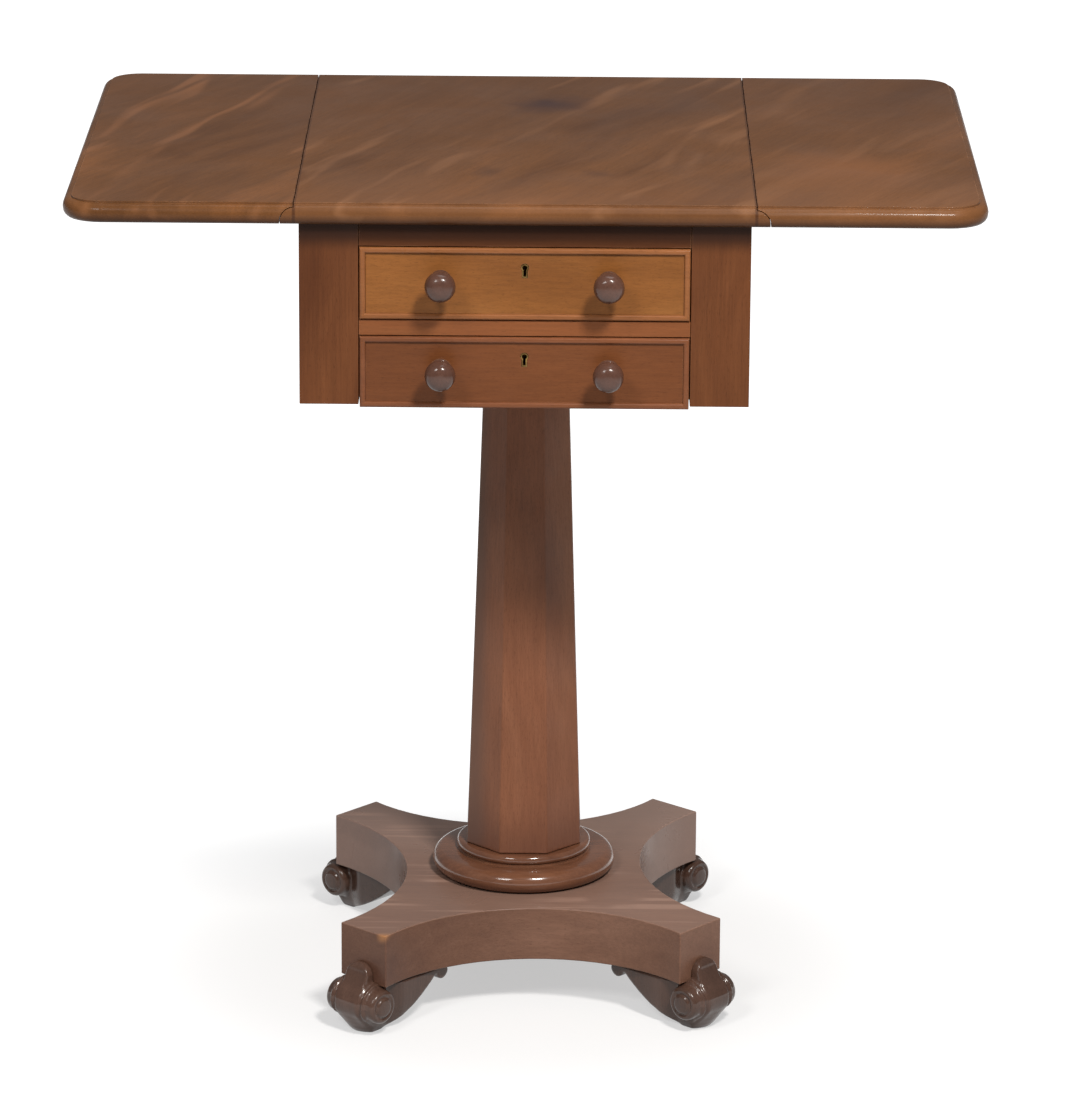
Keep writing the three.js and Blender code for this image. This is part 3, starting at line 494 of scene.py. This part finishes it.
# Old metal's patches and scratches in cycles to the metre, what both do to it, and how deep it is pitted
METAL_PATCHES = 160.0
METAL_SCRATCHES = (60, 1400, 500)
SCRATCHES_SHOW = 0.15
METAL_DULL = 0.15
METAL_DEPTH = 0.0001


def metal(name, tones, metallic, gloss):
    """Old iron or brass: patches of two tones, scratches and dull grime in the low places."""
    made = Shading(name)
    base = made.place()
    dark, light = (srgb(*tint) for tint in TONES[tones])
    patches = made.noise(base, 4, 0.6, 0.3, METAL_PATCHES)
    scratches = made.noise(made.stretch(base, METAL_SCRATCHES), 2, 0.5)
    colour = made.ramp(patches, [(0.35, dark), (0.65, light)])
    made.put(made.shader.inputs["Base Color"], made.mix(SCRATCHES_SHOW, colour, scratches, "OVERLAY"))
    made.put(made.shader.inputs["Roughness"], made.ramp(patches, [(0.3, gloss + METAL_DULL), (0.7, gloss)]))
    made.shader.inputs["Metallic"].default_value = metallic
    made.bump(patches, METAL_DEPTH)
    return made.material


# Where the two joint lines of the top lie to each side, and the height of its upper face
JOINT_LINE = 0.182
TOP = 0.724
# Heights between which the shade under the top comes in
SHADE_FROM = 0.682
SHADE_TO = 0.698
# Heights between which painted shade darkens the top's moulded edge downwards
NOSE_DARK = 0.7085
NOSE_LIGHT = 0.716
# Height of the platform's upper face, and depths under it between which its pale tint of wax bloom and
# painted sheen comes in
PLATFORM_TOP = 0.0875
BLOOM_AND_SHEEN_SKIN = (0.001, 0.0002)


def top_marks():
    """The marks of the centre board, the left leaf and the right leaf."""
    rear = along("Y", -0.16, 0.26, (84, 58, 42), 0.5)
    front = along("Y", -0.08, -0.235, (134, 90, 60), 0.25)
    # painted shade on the lower half of the top's moulded edge
    under = along("Z", NOSE_LIGHT, NOSE_DARK, (60, 36, 24), 0.6)
    joint = grime_at(JOINT_LINE, 0.0018, 0.6)
    pale = (146, 102, 70)
    board_figure = plumes(0.35, pale, math.radians(-66), (0, 0.1, 0))
    left_figure = plumes(0.4, (150, 100, 66), math.radians(-72), (0.3, 0, 0), 0.52, 0.68)
    right_figure = plumes(0.15, pale, math.radians(-60), (0.7, 0.2, 0))
    ink = patch((0.016, 0.137, TOP), (0.05, 0.045, 0.05), 0.7, (50, 36, 40))
    left_spot = patch((-0.033, -0.118, TOP), (0.02, 0.03, 0.03), 0.4, (62, 42, 33))
    right_spot = patch((0.054, -0.122, TOP), (0.02, 0.022, 0.02), 0.35, (64, 42, 34))
    warm_corner = patch((0.262, -0.10, TOP), (0.08, 0.11, 0.1), 0.35, (146, 94, 58), 0.07, 9.0)
    board = [rear, front, board_figure, ink, left_spot, right_spot, joint, under]
    left = [rear, left_figure, joint, under]
    right = [rear, front, right_figure, warm_corner, joint, under]
    return board, left, right


def pillar_marks():
    # painted shadow of the carcase on the pillar's upper front
    carcase_shadow = patch((0.02, -0.05, 0.36), (0.04, 0.05, 0.09), 0.45, (62, 38, 26), 0.05, 8.0)
    # painted shade and sheen on the pillar's left faces
    left_side_shade_and_sheen = along("X", -0.026, -0.042, (92, 74, 64), 0.75)
    ruddy = along("Z", 0.40, 0.26, (146, 86, 57), 0.15)
    # painted dark reflection of the collar on the pillar's foot
    collar_reflection = along("Z", 0.165, 0.118, (74, 44, 34), 0.4)
    return [carcase_shadow, left_side_shade_and_sheen, ruddy, collar_reflection]


def platform_marks():
    # paler and greyer towards the rear: dust on the finish and painted sheen
    dust_and_sheen = along("Y", 0.0, 0.14, (164, 144, 136), 0.45)
    # pale tint on the upper face alone: wax bloom and painted sheen
    bloom_and_sheen = along("Z", PLATFORM_TOP - BLOOM_AND_SHEEN_SKIN[0], PLATFORM_TOP - BLOOM_AND_SHEEN_SKIN[1], (156, 130, 118), 0.4)
    streaks = stripes(PLATFORM_TOP, (178, 144, 128), 0.5)
    worn_corner = patch((-0.112, -0.168, PLATFORM_TOP), (0.012, 0.012, 0.012), 0.9, (190, 134, 88))
    return [dust_and_sheen, bloom_and_sheen, streaks, worn_corner]


def make_materials():
    board, left, right = top_marks()
    shade = along("Z", SHADE_FROM, SHADE_TO, (40, 22, 14), 0.9)
    polish = {"specular": 0.06, "coat": 0.12}
    bead = {"flame": 0.3, "wear": 0.9, "gloss": 0.3}
    return {
        "top_board": wood("top_wood", "top", "Y", slant=0.42, flame=0.8, flame_scale=0.9, lines=0.14,
                          marks=board, **polish),
        "leaf_left": wood("left_leaf_wood", "top", "Y", slant=0.5, flame=0.8, flame_scale=1.1, lines=0.14,
                          shift=(0.4, 0.2, 0), marks=left, **polish),
        "leaf_right": wood("right_leaf_wood", "top", "Y", slant=0.45, flame=0.7, flame_scale=0.8,
                           lines=0.12, shift=(1.3, 0.7, 0), marks=right, **polish),
        "upright": wood("upright_wood", "carcase", "Z", flame=0.6, shift=(0.1, 0.3, 0.2), lines=0.16,
                        specular=0.12, marks=[shade]),
        "rail": wood("rail_wood", "carcase", "X", lines=0.16, specular=0.08, marks=[shade]),
        "divider": wood("divider_wood", "divider", "X", lines=0.16),
        "fore_and_aft": wood("side_wood", "carcase", "Y", lines=0.16),
        "upper_drawer": wood("upper_drawer_wood", "upper_drawer", "X", slant=0.1, flame=0.6,
                             shift=(0.7, 0, 0.1), lines=0.16),
        "lower_drawer": wood("lower_drawer_wood", "lower_drawer", "X", slant=0.06, lines=0.14),
        "upper_bead": wood("upper_bead_wood", "upper_bead", "X", **bead),
        "lower_bead": wood("lower_bead_wood", "lower_bead", "X", **bead),
        "knob": wood("knob_wood", "knob", "Y", flame=0.4, gloss=0.2, coat=0.15, specular=0.28),
        "pillar": wood("pillar_wood", "pillar", "Z", slant=0.04, flame=0.75, shift=(0, 0, 0.3), lines=0.14,
                       marks=pillar_marks()),
        "collar": wood("collar_wood", "collar", "X", gloss=0.2, coat=0.5, specular=0.3),
        "platform": wood("platform_wood", "platform", "X", slant=0.05, flame=0.8, gloss=0.32, wear=0.8,
                         worn=(196, 152, 122), marks=platform_marks()),
        "foot": wood("foot_wood", "foot", "Z", flame=0.6, gloss=0.26, coat=0.5, wear=0.7),
        "pine_x": bare_pine("pine_across", "X"),
        "pine_y": bare_pine("pine_fore_and_aft", "Y"),
        "iron": metal("old_iron", "iron", metallic=0.85, gloss=0.42),
        "brass": metal("old_brass", "brass", metallic=0.9, gloss=0.36),
    }


# Which material each CAD node wears, by what its name holds; the first match counts
WEARS = [
    ("hinge", "iron"), ("bracket_pin", "iron"), ("lock", "brass"), ("escutcheon", "brass"),
    ("top_board", "top_board"), ("leaf_left", "leaf_left"), ("leaf_right", "leaf_right"), ("knob", "knob"),
    ("upper_drawer_cock_bead", "upper_bead"), ("lower_drawer_cock_bead", "lower_bead"),
    ("upper_drawer_front", "upper_drawer"), ("lower_drawer_front", "lower_drawer"),
    ("drawer_side", "pine_y"), ("drawer_back", "pine_x"), ("drawer_bottom", "pine_x"),
    ("drawer_runner", "pine_y"), ("drawer_guide", "pine_y"), ("side_board", "pine_y"),
    ("bottom_board", "pine_y"), ("stile", "upright"), ("top_rail", "rail"), ("divider", "divider"),
    ("back_board", "rail"), ("fly_", "fore_and_aft"), ("cleat", "rail"), ("collar", "collar"),
    ("pillar", "pillar"), ("platform", "platform"), ("scroll_foot", "foot"),
]

# Copies of CAD meshes
WELD_REACH = 1e-5  # points closer than this are one
FLAT_ANGLE = math.radians(0.5)  # faces that lean less than this are one flat face
SMOOTH_ANGLE = math.radians(32)  # faces that meet at less than this are shaded as one round face

# Nodes that the scene repeats with their arrises eased by so much
EASED = [
    ("top_board", 0.0004), ("leaf_", 0.0004), ("platform", 0.0011), ("front_stile", 0.0006),
    ("top_rail", 0.0004), ("divider", 0.0005), ("drawer_front", 0.0003), ("back_board", 0.0006),
    ("fly_", 0.0005), ("cleat", 0.0006), ("pillar", 0.0012),
]
EASE_SEGMENTS = 3
EASE_ANGLE = math.radians(35)


def wears(name):
    for part, material in WEARS:
        if part in name:
            return material
    raise KeyError(name)


def body_of(node):
    for body, members in frame["record"]["behaviour"]["bodies"].items():
        if node in members:
            return body
    raise KeyError(node)


def stand_for(piece, node):
    """The piece takes the CAD node's place, on its body."""
    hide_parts(node)
    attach(piece, body_of(node))


def welded(name, node):
    """A copy of a CAD mesh with its triangles joined into whole faces."""
    joined = bmesh.new()
    joined.from_mesh(nodes[node].data)
    bmesh.ops.remove_doubles(joined, verts=joined.verts, dist=WELD_REACH)
    bmesh.ops.dissolve_limit(joined, angle_limit=FLAT_ANGLE, verts=joined.verts, edges=joined.edges)
    mesh = bpy.data.meshes.new(name)
    joined.to_mesh(mesh)
    joined.free()
    for spent in ("custom_normal", "sharp_face", "sharp_edge"):
        if spent in mesh.attributes:
            mesh.attributes.remove(mesh.attributes[spent])
    mesh.polygons.foreach_set("use_smooth", [True] * len(mesh.polygons))
    mesh.set_sharp_from_angle(angle=SMOOTH_ANGLE)
    mesh.materials.clear()
    return mesh


def eased_nodes(materials):
    """Repeats boards, pillar and platform with their arrises eased."""
    for node in list(nodes):
        width = next((size for part, size in EASED if part in node), None)
        if width is None or "collar" in node or "hinge" in node:
            continue
        mesh = welded(f"{node}_eased", node)
        mesh.materials.append(materials[wears(node)])
        piece = bpy.data.objects.new(f"{node}_eased", mesh)
        scene.collection.objects.link(piece)
        ease = piece.modifiers.new("eased_edges", "BEVEL")
        ease.width = width
        ease.segments = EASE_SEGMENTS
        ease.limit_method = "ANGLE"
        ease.angle_limit = EASE_ANGLE
        ease.harden_normals = True
        stand_for(piece, node)


def dress_nodes(materials):
    for name, piece in nodes.items():
        piece.data.materials.clear()
        piece.data.materials.append(materials[wears(name)])


def mesh_object(name, verts, faces, material, smooth=True):
    mesh = bpy.data.meshes.new(name)
    mesh.from_pydata(verts, [], faces)
    mesh.polygons.foreach_set("use_smooth", [smooth] * len(faces))
    mesh.materials.append(material)
    made = bpy.data.objects.new(name, mesh)
    scene.collection.objects.link(made)
    return made


def arc(centre_u, centre_v, radius_u, radius_v, start, end, steps):
    """Points on an oval arc between two angles in degrees."""
    points = []
    for i in range(steps + 1):
        angle = math.radians(start + (end - start) * i / steps)
        points.append((centre_u + radius_u * math.cos(angle), centre_v + radius_v * math.sin(angle)))
    return points


ON_AXIS = 1e-7  # a profile's points closer to the axis than this are on it


def lathe(name, profile, origin, axis, sides, material, closed=False):
    """A turned piece: [radius, height] points spun round an axis; open profiles start and end on it."""
    turn = Vector((0, 0, 1)).rotation_difference(Vector(axis)).to_matrix()
    verts, faces, rings = [], [], []
    for radius, height in profile:
        count = sides if radius > ON_AXIS else 1
        start = len(verts)
        for i in range(count):
            angle = 2 * math.pi * i / sides
            spot = Vector((radius * math.cos(angle), radius * math.sin(angle), height))
            verts.append(Vector(origin) + turn @ spot)
        rings.append((start, count))
    following = rings[1:] + (rings[:1] if closed else [])
    for (low, low_count), (high, high_count) in zip(rings, following):
        for i in range(sides):
            j = (i + 1) % sides
            a, b = low + i % low_count, low + j % low_count
            c, d = high + j % high_count, high + i % high_count
            face = [a, b, c, d]
            if low_count == 1:
                face = [a, c, d]
            if high_count == 1:
                face = [a, b, c]
            faces.append(face)
    made = mesh_object(name, verts, faces, material)
    set_outward(made)
    made.data.set_sharp_from_angle(angle=SMOOTH_ANGLE)
    return made


# Collar
COLLAR_BORE = 0.0206
COLLAR_SIDES = 128
# Shares of its height
COLLAR_TORUS = 0.665
COLLAR_FILLET = 0.055
# Shares of its radius
COLLAR_NECK = 0.715
COLLAR_CROWN = 0.692  # middle of the upper bead's round
COLLAR_BEAD = 0.735  # outside of the upper bead
# Shares of the upper bead's height
BEAD_BELOW = 0.42
BEAD_ABOVE = 0.58


def turned_collar(material):
    """The collar's torus and bead with soft crests, in the CAD collar's own box."""
    low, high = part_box("pillar_collar")
    radius = (high.x - low.x) / 2
    rise = high.z - low.z
    torus = rise * COLLAR_TORUS
    nose = torus / 2
    neck = radius * COLLAR_NECK
    fillet = rise * COLLAR_FILLET
    bead = rise - torus - fillet
    crown = radius * COLLAR_CROWN
    swell = radius * COLLAR_BEAD - crown
    crest = torus + fillet + bead * BEAD_BELOW
    profile = [(COLLAR_BORE, 0), (radius - nose, 0)]
    profile += arc(radius - nose, nose, nose, nose, -88, 84, 20)
    profile += [(neck, torus), (neck, torus + fillet)]
    profile += arc(crown, crest, swell, bead * BEAD_BELOW, -70, 0, 6)
    profile += arc(crown, crest, swell, bead * BEAD_ABOVE, 8, 90, 10)
    profile += [(COLLAR_BORE, rise)]
    centre = ((low.x + high.x) / 2, (low.y + high.y) / 2, low.z)
    piece = lathe("collar_turned", profile, centre, (0, 0, 1), COLLAR_SIDES, material, closed=True)
    stand_for(piece, "pillar_collar")


# Knobs
KNOB_SEAM = 0.0004
KNOB_SIDES = 64
KNOB_FRONT_STEPS = 20
KNOB_FLAT_SHARE = 0.78  # 1 gives a plain oval dome, less a flatter one with fuller shoulders
# Shares of their radius
KNOB_SPIGOT = 0.36
KNOB_FOOT = 0.74
KNOB_NECK = 0.54
KNOB_HOLLOW = 0.98  # middle of the hollow between foot and head
KNOB_LIP = 0.1
# Shares of how far they stand out from the drawer
FOOT_BEAD_HIGH = 0.06
FOOT_BEAD_RISE = 0.055
FOOT_BEAD_WIDE = 0.05
HOLLOW_HIGH = 0.34
HOLLOW_DEEP = 0.22
KNOB_RIM = 0.62
LIP_DROP = 0.01
LIP_HIGH = 0.05


def knob_profile(radius, reach, depth):
    """From the spigot's end inside the drawer front to the middle of the domed face."""
    foot = radius * KNOB_FOOT
    neck = radius * KNOB_NECK
    rim = reach * KNOB_RIM
    hollow = radius * KNOB_HOLLOW
    spigot = radius * KNOB_SPIGOT
    profile = [(0, -depth), (spigot, -depth), (spigot, KNOB_SEAM), (foot, KNOB_SEAM)]
    profile += arc(foot - reach * FOOT_BEAD_WIDE, reach * FOOT_BEAD_HIGH, reach * FOOT_BEAD_WIDE,
                   reach * FOOT_BEAD_RISE, -60, 90, 6)
    profile += arc(hollow, reach * HOLLOW_HIGH, hollow - neck, reach * HOLLOW_DEEP, 215, 108, 12)
    profile += arc(radius * (1 - KNOB_LIP), rim - reach * LIP_DROP, radius * KNOB_LIP, reach * LIP_HIGH,
                   -60, 0, 5)
    for i in range(1, KNOB_FRONT_STEPS):
        turn = math.pi / 2 * i / KNOB_FRONT_STEPS
        profile.append((radius * math.cos(turn) ** KNOB_FLAT_SHARE,
                        rim + (reach - rim) * math.sin(turn) ** KNOB_FLAT_SHARE))
    return profile + [(0, reach)]


def turned_knobs(material):
    """Mushroom knobs with a rounded lip, in the CAD knobs' own boxes."""
    for drawer in ("upper_drawer", "lower_drawer"):
        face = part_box(f"{drawer}_front")[0].y
        for side in ("left", "right"):
            node = f"{drawer}_knob_{side}"
            low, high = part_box(node)
            profile = knob_profile((high.x - low.x) / 2, face - low.y, high.y - face)
            centre = ((low.x + high.x) / 2, face, (low.z + high.z) / 2)
            piece = lathe(f"{node}_turned", profile, centre, (0, -1, 0), KNOB_SIDES, material)
            stand_for(piece, node)


# Cock beads
BEAD_WIDTH = 0.0045
BEAD_NOSE = 0.002  # depth of the rounded part
SEAM = 0.0003  # to the panel, which the strip closes


def rounded_beads(materials):
    """A half-round strip mitred round each drawer front, pressed against its panel."""
    for drawer in ("upper_drawer", "lower_drawer"):
        node = f"{drawer}_cock_bead"
        low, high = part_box(node)
        half = (BEAD_WIDTH + SEAM) / 2
        nose = arc(half, low.y + BEAD_NOSE, half, BEAD_NOSE, 180, 360, 14)
        profile = [(0, high.y), *nose, (2 * half, high.y)]
        verts, faces = [], []
        for inset, y in profile:
            for x, z in ((low.x + inset, low.z + inset), (high.x - inset, low.z + inset),
                         (high.x - inset, high.z - inset), (low.x + inset, high.z - inset)):
                verts.append((x, y, z))
        count = len(profile)
        for i in range(count):
            for k in range(4):
                near, far = 4 * i, 4 * ((i + 1) % count)
                faces.append((near + k, near + (k + 1) % 4, far + (k + 1) % 4, far + k))
        piece = mesh_object(f"{node}_rounded", verts, faces, materials[wears(node)])
        set_outward(piece)
        piece.data.set_sharp_from_angle(angle=SMOOTH_ANGLE)
        stand_for(piece, node)


def set_outward(piece):
    """Turns every face of a closed piece outwards."""
    mesh = bmesh.new()
    mesh.from_mesh(piece.data)
    bmesh.ops.recalc_face_normals(mesh, faces=mesh.faces)
    mesh.to_mesh(piece.data)
    mesh.free()


# Countersunk slotted screws
SCREW_RADIUS = 0.0032
SCREW_PROUD = 0.0002
SCREW_SLOT = 0.0004  # half the slot's width
SLOT_FLOOR = 0.00004
SLOT_TURN = 0.7  # where the first slot points, in radians
SLOT_TURN_STEP = 2.1  # how far each next one is turned from it
BOARD_SCREWS = (0.010, 0.018)  # out from a hinge's pin, in the board's plate
LEAF_SCREWS = (0.013, 0.028)  # out from a hinge's pin, in the leaf's plate
SCREW_SPREAD = 0.012  # of a plate's outer screws from its middle
LOCK_SCREW_INSET = 0.0055


def screw_heads(name, places, axis, body, material):
    """Flat heads with an open slot, each from two half moons over a thin disc."""
    turn = Vector((0, 0, 1)).rotation_difference(Vector(axis)).to_matrix()
    verts, faces = [], []

    def prism(outline, low, high, spin, centre):
        start, count = len(verts), len(outline)
        for height in (low, high):
            for x, y in outline:
                flat = Matrix.Rotation(spin, 3, "Z") @ Vector((x, y, height))
                verts.append(Vector(centre) + turn @ flat)
        faces.append([start + i for i in reversed(range(count))])
        faces.append([start + count + i for i in range(count)])
        for i in range(count):
            j = (i + 1) % count
            faces.append([start + i, start + j, start + count + j, start + count + i])

    for index, centre in enumerate(places):
        spin = SLOT_TURN + SLOT_TURN_STEP * index
        edge = math.degrees(math.asin(SCREW_SLOT / SCREW_RADIUS))
        moon = arc(0, 0, SCREW_RADIUS, SCREW_RADIUS, edge, 180 - edge, 14)
        prism(moon, 0, SCREW_PROUD, spin, centre)
        prism([(-x, -y) for x, y in moon], 0, SCREW_PROUD, spin, centre)
        disc = arc(0, 0, SCREW_RADIUS, SCREW_RADIUS, 0, 345, 23)
        prism(disc, -SCREW_PROUD, SLOT_FLOOR, spin, centre)
    piece = mesh_object(name, verts, faces, material, smooth=False)
    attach(piece, body)


def screws(materials):
    """Three screws in each hinge plate and four in each lock."""
    for node in nodes:
        low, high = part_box(node)
        if node.startswith("hinge_"):
            inward = "board" in node
            sign = -1 if "left" in node else 1
            pin = sign * JOINT_LINE
            away = -sign if inward else sign
            near, far = BOARD_SCREWS if inward else LEAF_SCREWS
            middle = (low.y + high.y) / 2
            spots = ((near, -SCREW_SPREAD), (far, 0), (near, SCREW_SPREAD))
            places = [(pin + away * x, middle + y, low.z) for x, y in spots]
            screw_heads(f"{node}_screws", places, (0, 0, -1), body_of(node), materials["iron"])
        if node.endswith("_lock"):
            across = (low.x + LOCK_SCREW_INSET, high.x - LOCK_SCREW_INSET)
            up = (low.z + LOCK_SCREW_INSET, high.z - LOCK_SCREW_INSET)
            places = [(x, high.y, z) for x in across for z in up]
            screw_heads(f"{node}_screws", places, (0, 1, 0), body_of(node), materials["brass"])


# Scroll feet: their own frame has s outwards, t across and z up
FOOT_ROLL = (0.211, 0.026)
FOOT_ROLL_RADIUS = 0.018
FOOT_HALF = 0.022
FOOT_SHIFT = 0.0092  # of a canted corner's middle off the diagonal
FOOT_CANT = 0.2078  # face of the platform's corner that the tongue stands against
FOOT_BOSS_RADIUS = 0.0145
FOOT_VOXEL = 0.0011  # cell of the even mesh that is carved
FOOT_FINE_VOXEL = FOOT_VOXEL * 0.8  # cell of the mesh once it is carved

# Body of a foot, slimmer round the bosses
FOOT_SLIM = 0.0035  # taken off each side
SLIM_REACH = (0.03, 0.012)  # distances inside the roll's middle between which that comes in
SLIM_SHARES = (0.5, 0.8)  # shares of half the width between which it comes in

# Toe, rounded in plan
FOOT_TOE_ROUND = 0.018  # how far its corners would draw back at the body's full width
TOE_REACH = (-0.02, 0.006)  # places about the roll's middle between which that comes in
TOE_HIGH_SHARE = 0.8  # share of the roll's height at which it begins
TOE_LOW = 0.003  # height at which it is full

# Tongue, with its rounded top and a groove along each side
TONGUE_HALF = 0.0125
TONGUE_CROWN = (FOOT_CANT, 0.0527)  # centre of the rounded top
TONGUE_THICK = 0.0075
TONGUE_TOP = TONGUE_CROWN[1] + TONGUE_THICK
EDGE_GROOVE_OFF = 0.0022  # from the tongue's side
EDGE_GROOVE_WIDTH = 0.0016
EDGE_GROOVE_DEPTH = 0.003
GROOVE_LOW = (-75, -50)  # angles on the roll at which it ends and is full
GROOVE_HIGH = (100, 80)

# Ring cut into each boss
RING_RADIUS = 0.0092
RING_WIDTH = 0.0015
RING_DEPTH = 0.0024

# Swell that is added to the tongue
CROWN_INSET = 0.0004
CROWN_ANGLES = (88, 34)
SWELL_MEETS = 22  # angle at which it meets the roll
SWELL_DIP = 0.0012
SWELL_PROUD = 0.0006  # of the roll, where it runs on over it
ROLL_ANGLES = (16, -50)
SWELL_STEPS = 6


def foot_frame(node):
    """The turn that takes the foot's own frame to the model's."""
    low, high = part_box(node)
    middle = (low + high) / 2 - MIDDLE
    quarter = math.floor(math.atan2(middle.y, middle.x) / (math.pi / 2))
    angle = quarter * math.pi / 2 + math.pi / 4 + BASE_TURN
    shift = -FOOT_SHIFT if quarter % 2 else FOOT_SHIFT
    turn = Matrix.Rotation(angle, 4, "Z") @ Matrix.Translation((0, shift, 0))
    return Matrix.Translation((MIDDLE.x, MIDDLE.y, 0)) @ turn


def groove(distance, width, depth):
    """Depth of a round-bottomed groove at a distance from its line."""
    return depth * math.exp(-(distance / width) ** 2 * 2)


def fade(value, start, end):
    """0 at start, 1 at end, smooth between."""
    share = min(1, max(0, (value - start) / (end - start)))
    return share * share * (3 - 2 * share)


def carve_foot(point):
    """Moves a point of the plain foot to the carved surface."""
    s, t, z = point
    across = abs(t)
    out, up = s - FOOT_ROLL[0], z - FOOT_ROLL[1]
    radius = math.hypot(out, up)
    angle = math.degrees(math.atan2(up, out))
    body = radius > FOOT_BOSS_RADIUS + FOOT_VOXEL / 2
    if body:
        slim = fade(s, FOOT_ROLL[0] - SLIM_REACH[0], FOOT_ROLL[0] - SLIM_REACH[1])
        across -= FOOT_SLIM * slim * fade(across, FOOT_HALF * SLIM_SHARES[0], FOOT_HALF * SLIM_SHARES[1])
    if body and GROOVE_LOW[0] < angle < GROOVE_HIGH[0]:
        cut = groove(across - TONGUE_HALF - EDGE_GROOVE_OFF, EDGE_GROOVE_WIDTH, EDGE_GROOVE_DEPTH)
        cut *= fade(angle, *GROOVE_LOW) * fade(angle, *GROOVE_HIGH)
        s -= cut * out / radius
        z -= cut * up / radius
    if across > FOOT_HALF and radius < FOOT_BOSS_RADIUS:
        across -= groove(radius - RING_RADIUS, RING_WIDTH, RING_DEPTH)
    crown = z - (TONGUE_TOP - TONGUE_HALF)
    if crown > 0:
        across = min(across, math.sqrt(max(0, TONGUE_HALF ** 2 - crown ** 2)))
    if body:
        round_off = fade(s, FOOT_ROLL[0] + TOE_REACH[0], FOOT_ROLL[0] + TOE_REACH[1])
        round_off *= fade(z, FOOT_ROLL[1] * TOE_HIGH_SHARE, TOE_LOW)
        s -= FOOT_TOE_ROUND * round_off * (across / FOOT_HALF) ** 2
    return s, math.copysign(across, t), z


def tongue_fill():
    """Corners of the tongue's long swell in (s, z), from its rounded top down into the roll."""
    inset = TONGUE_THICK - CROWN_INSET
    crown = arc(*TONGUE_CROWN, inset, inset, *CROWN_ANGLES, SWELL_STEPS)
    start = Vector(crown[-1])
    end = Vector(arc(*FOOT_ROLL, FOOT_ROLL_RADIUS, FOOT_ROLL_RADIUS, SWELL_MEETS, SWELL_MEETS, 1)[0])
    swell = []
    for i in range(1, SWELL_STEPS + 1):
        share = i / SWELL_STEPS
        dip = SWELL_DIP * math.sin(math.pi * share)
        spot = start.lerp(end, share)
        swell.append((spot.x - dip, spot.y - dip / 2))
    proud = FOOT_ROLL_RADIUS + SWELL_PROUD
    below = arc(*FOOT_ROLL, proud, proud, *ROLL_ANGLES, 2 * SWELL_STEPS)
    return [(FOOT_CANT, FOOT_ROLL[1]), (FOOT_CANT, crown[0][1]), *crown, *swell, *below]


def add_tongue(mesh):
    """The swell joined to a foot's mesh, in the foot's own frame."""
    outline = tongue_fill()
    count = len(outline)
    joined = bmesh.new()
    joined.from_mesh(mesh)
    near, far = ([joined.verts.new((s, side * TONGUE_HALF, z)) for s, z in outline] for side in (-1, 1))
    joined.faces.new(near)
    joined.faces.new(list(reversed(far)))
    for i in range(count):
        j = (i + 1) % count
        joined.faces.new((near[j], near[i], far[i], far[j]))
    joined.to_mesh(mesh)
    joined.free()


def even_out(piece, voxel, rounds):
    """An even mesh of small faces, softened by so many rounds."""
    remesh = piece.modifiers.new("even", "REMESH")
    remesh.mode = "VOXEL"
    remesh.voxel_size = voxel
    soften = piece.modifiers.new("soften", "SMOOTH")
    soften.factor = 0.5
    soften.iterations = rounds
    bake(piece)


def carved_feet(material):
    """Each foot starts as its CAD solid, is refined to an even mesh, carved and smoothed."""
    for node in [n for n in nodes if n.startswith("scroll_foot")]:
        place = foot_frame(node)
        mesh = nodes[node].data.copy()
        mesh.name = f"{node}_carved"
        mesh.transform(place.inverted())
        add_tongue(mesh)
        piece = bpy.data.objects.new(f"{node}_carved", mesh)
        scene.collection.objects.link(piece)
        even_out(piece, FOOT_VOXEL, rounds=2)
        for vertex in piece.data.vertices:
            vertex.co = carve_foot(vertex.co)
        even_out(piece, FOOT_FINE_VOXEL, rounds=3)
        for vertex in piece.data.vertices:
            vertex.co.z = max(vertex.co.z, 0)
        piece.data.transform(place)
        piece.data.polygons.foreach_set("use_smooth", [True] * len(piece.data.polygons))
        piece.data.materials.clear()
        piece.data.materials.append(material)
        stand_for(piece, node)


def bake(piece):
    """Turns a piece's modifiers into its mesh."""
    bpy.context.view_layer.update()
    graph = bpy.context.evaluated_depsgraph_get()
    solved = bpy.data.meshes.new_from_object(piece.evaluated_get(graph))
    old = piece.data
    piece.modifiers.clear()
    piece.data = solved
    bpy.data.meshes.remove(old)


def main():
    add_camera()
    add_world()
    add_lights()
    add_floor()
    materials = make_materials()
    dress_nodes(materials)
    eased_nodes(materials)
    rounded_beads(materials)
    screws(materials)
    turned_collar(materials["collar"])
    turned_knobs(materials["knob"])
    carved_feet(materials["foot"])
    scene.view_settings.view_transform = "Standard"


main()
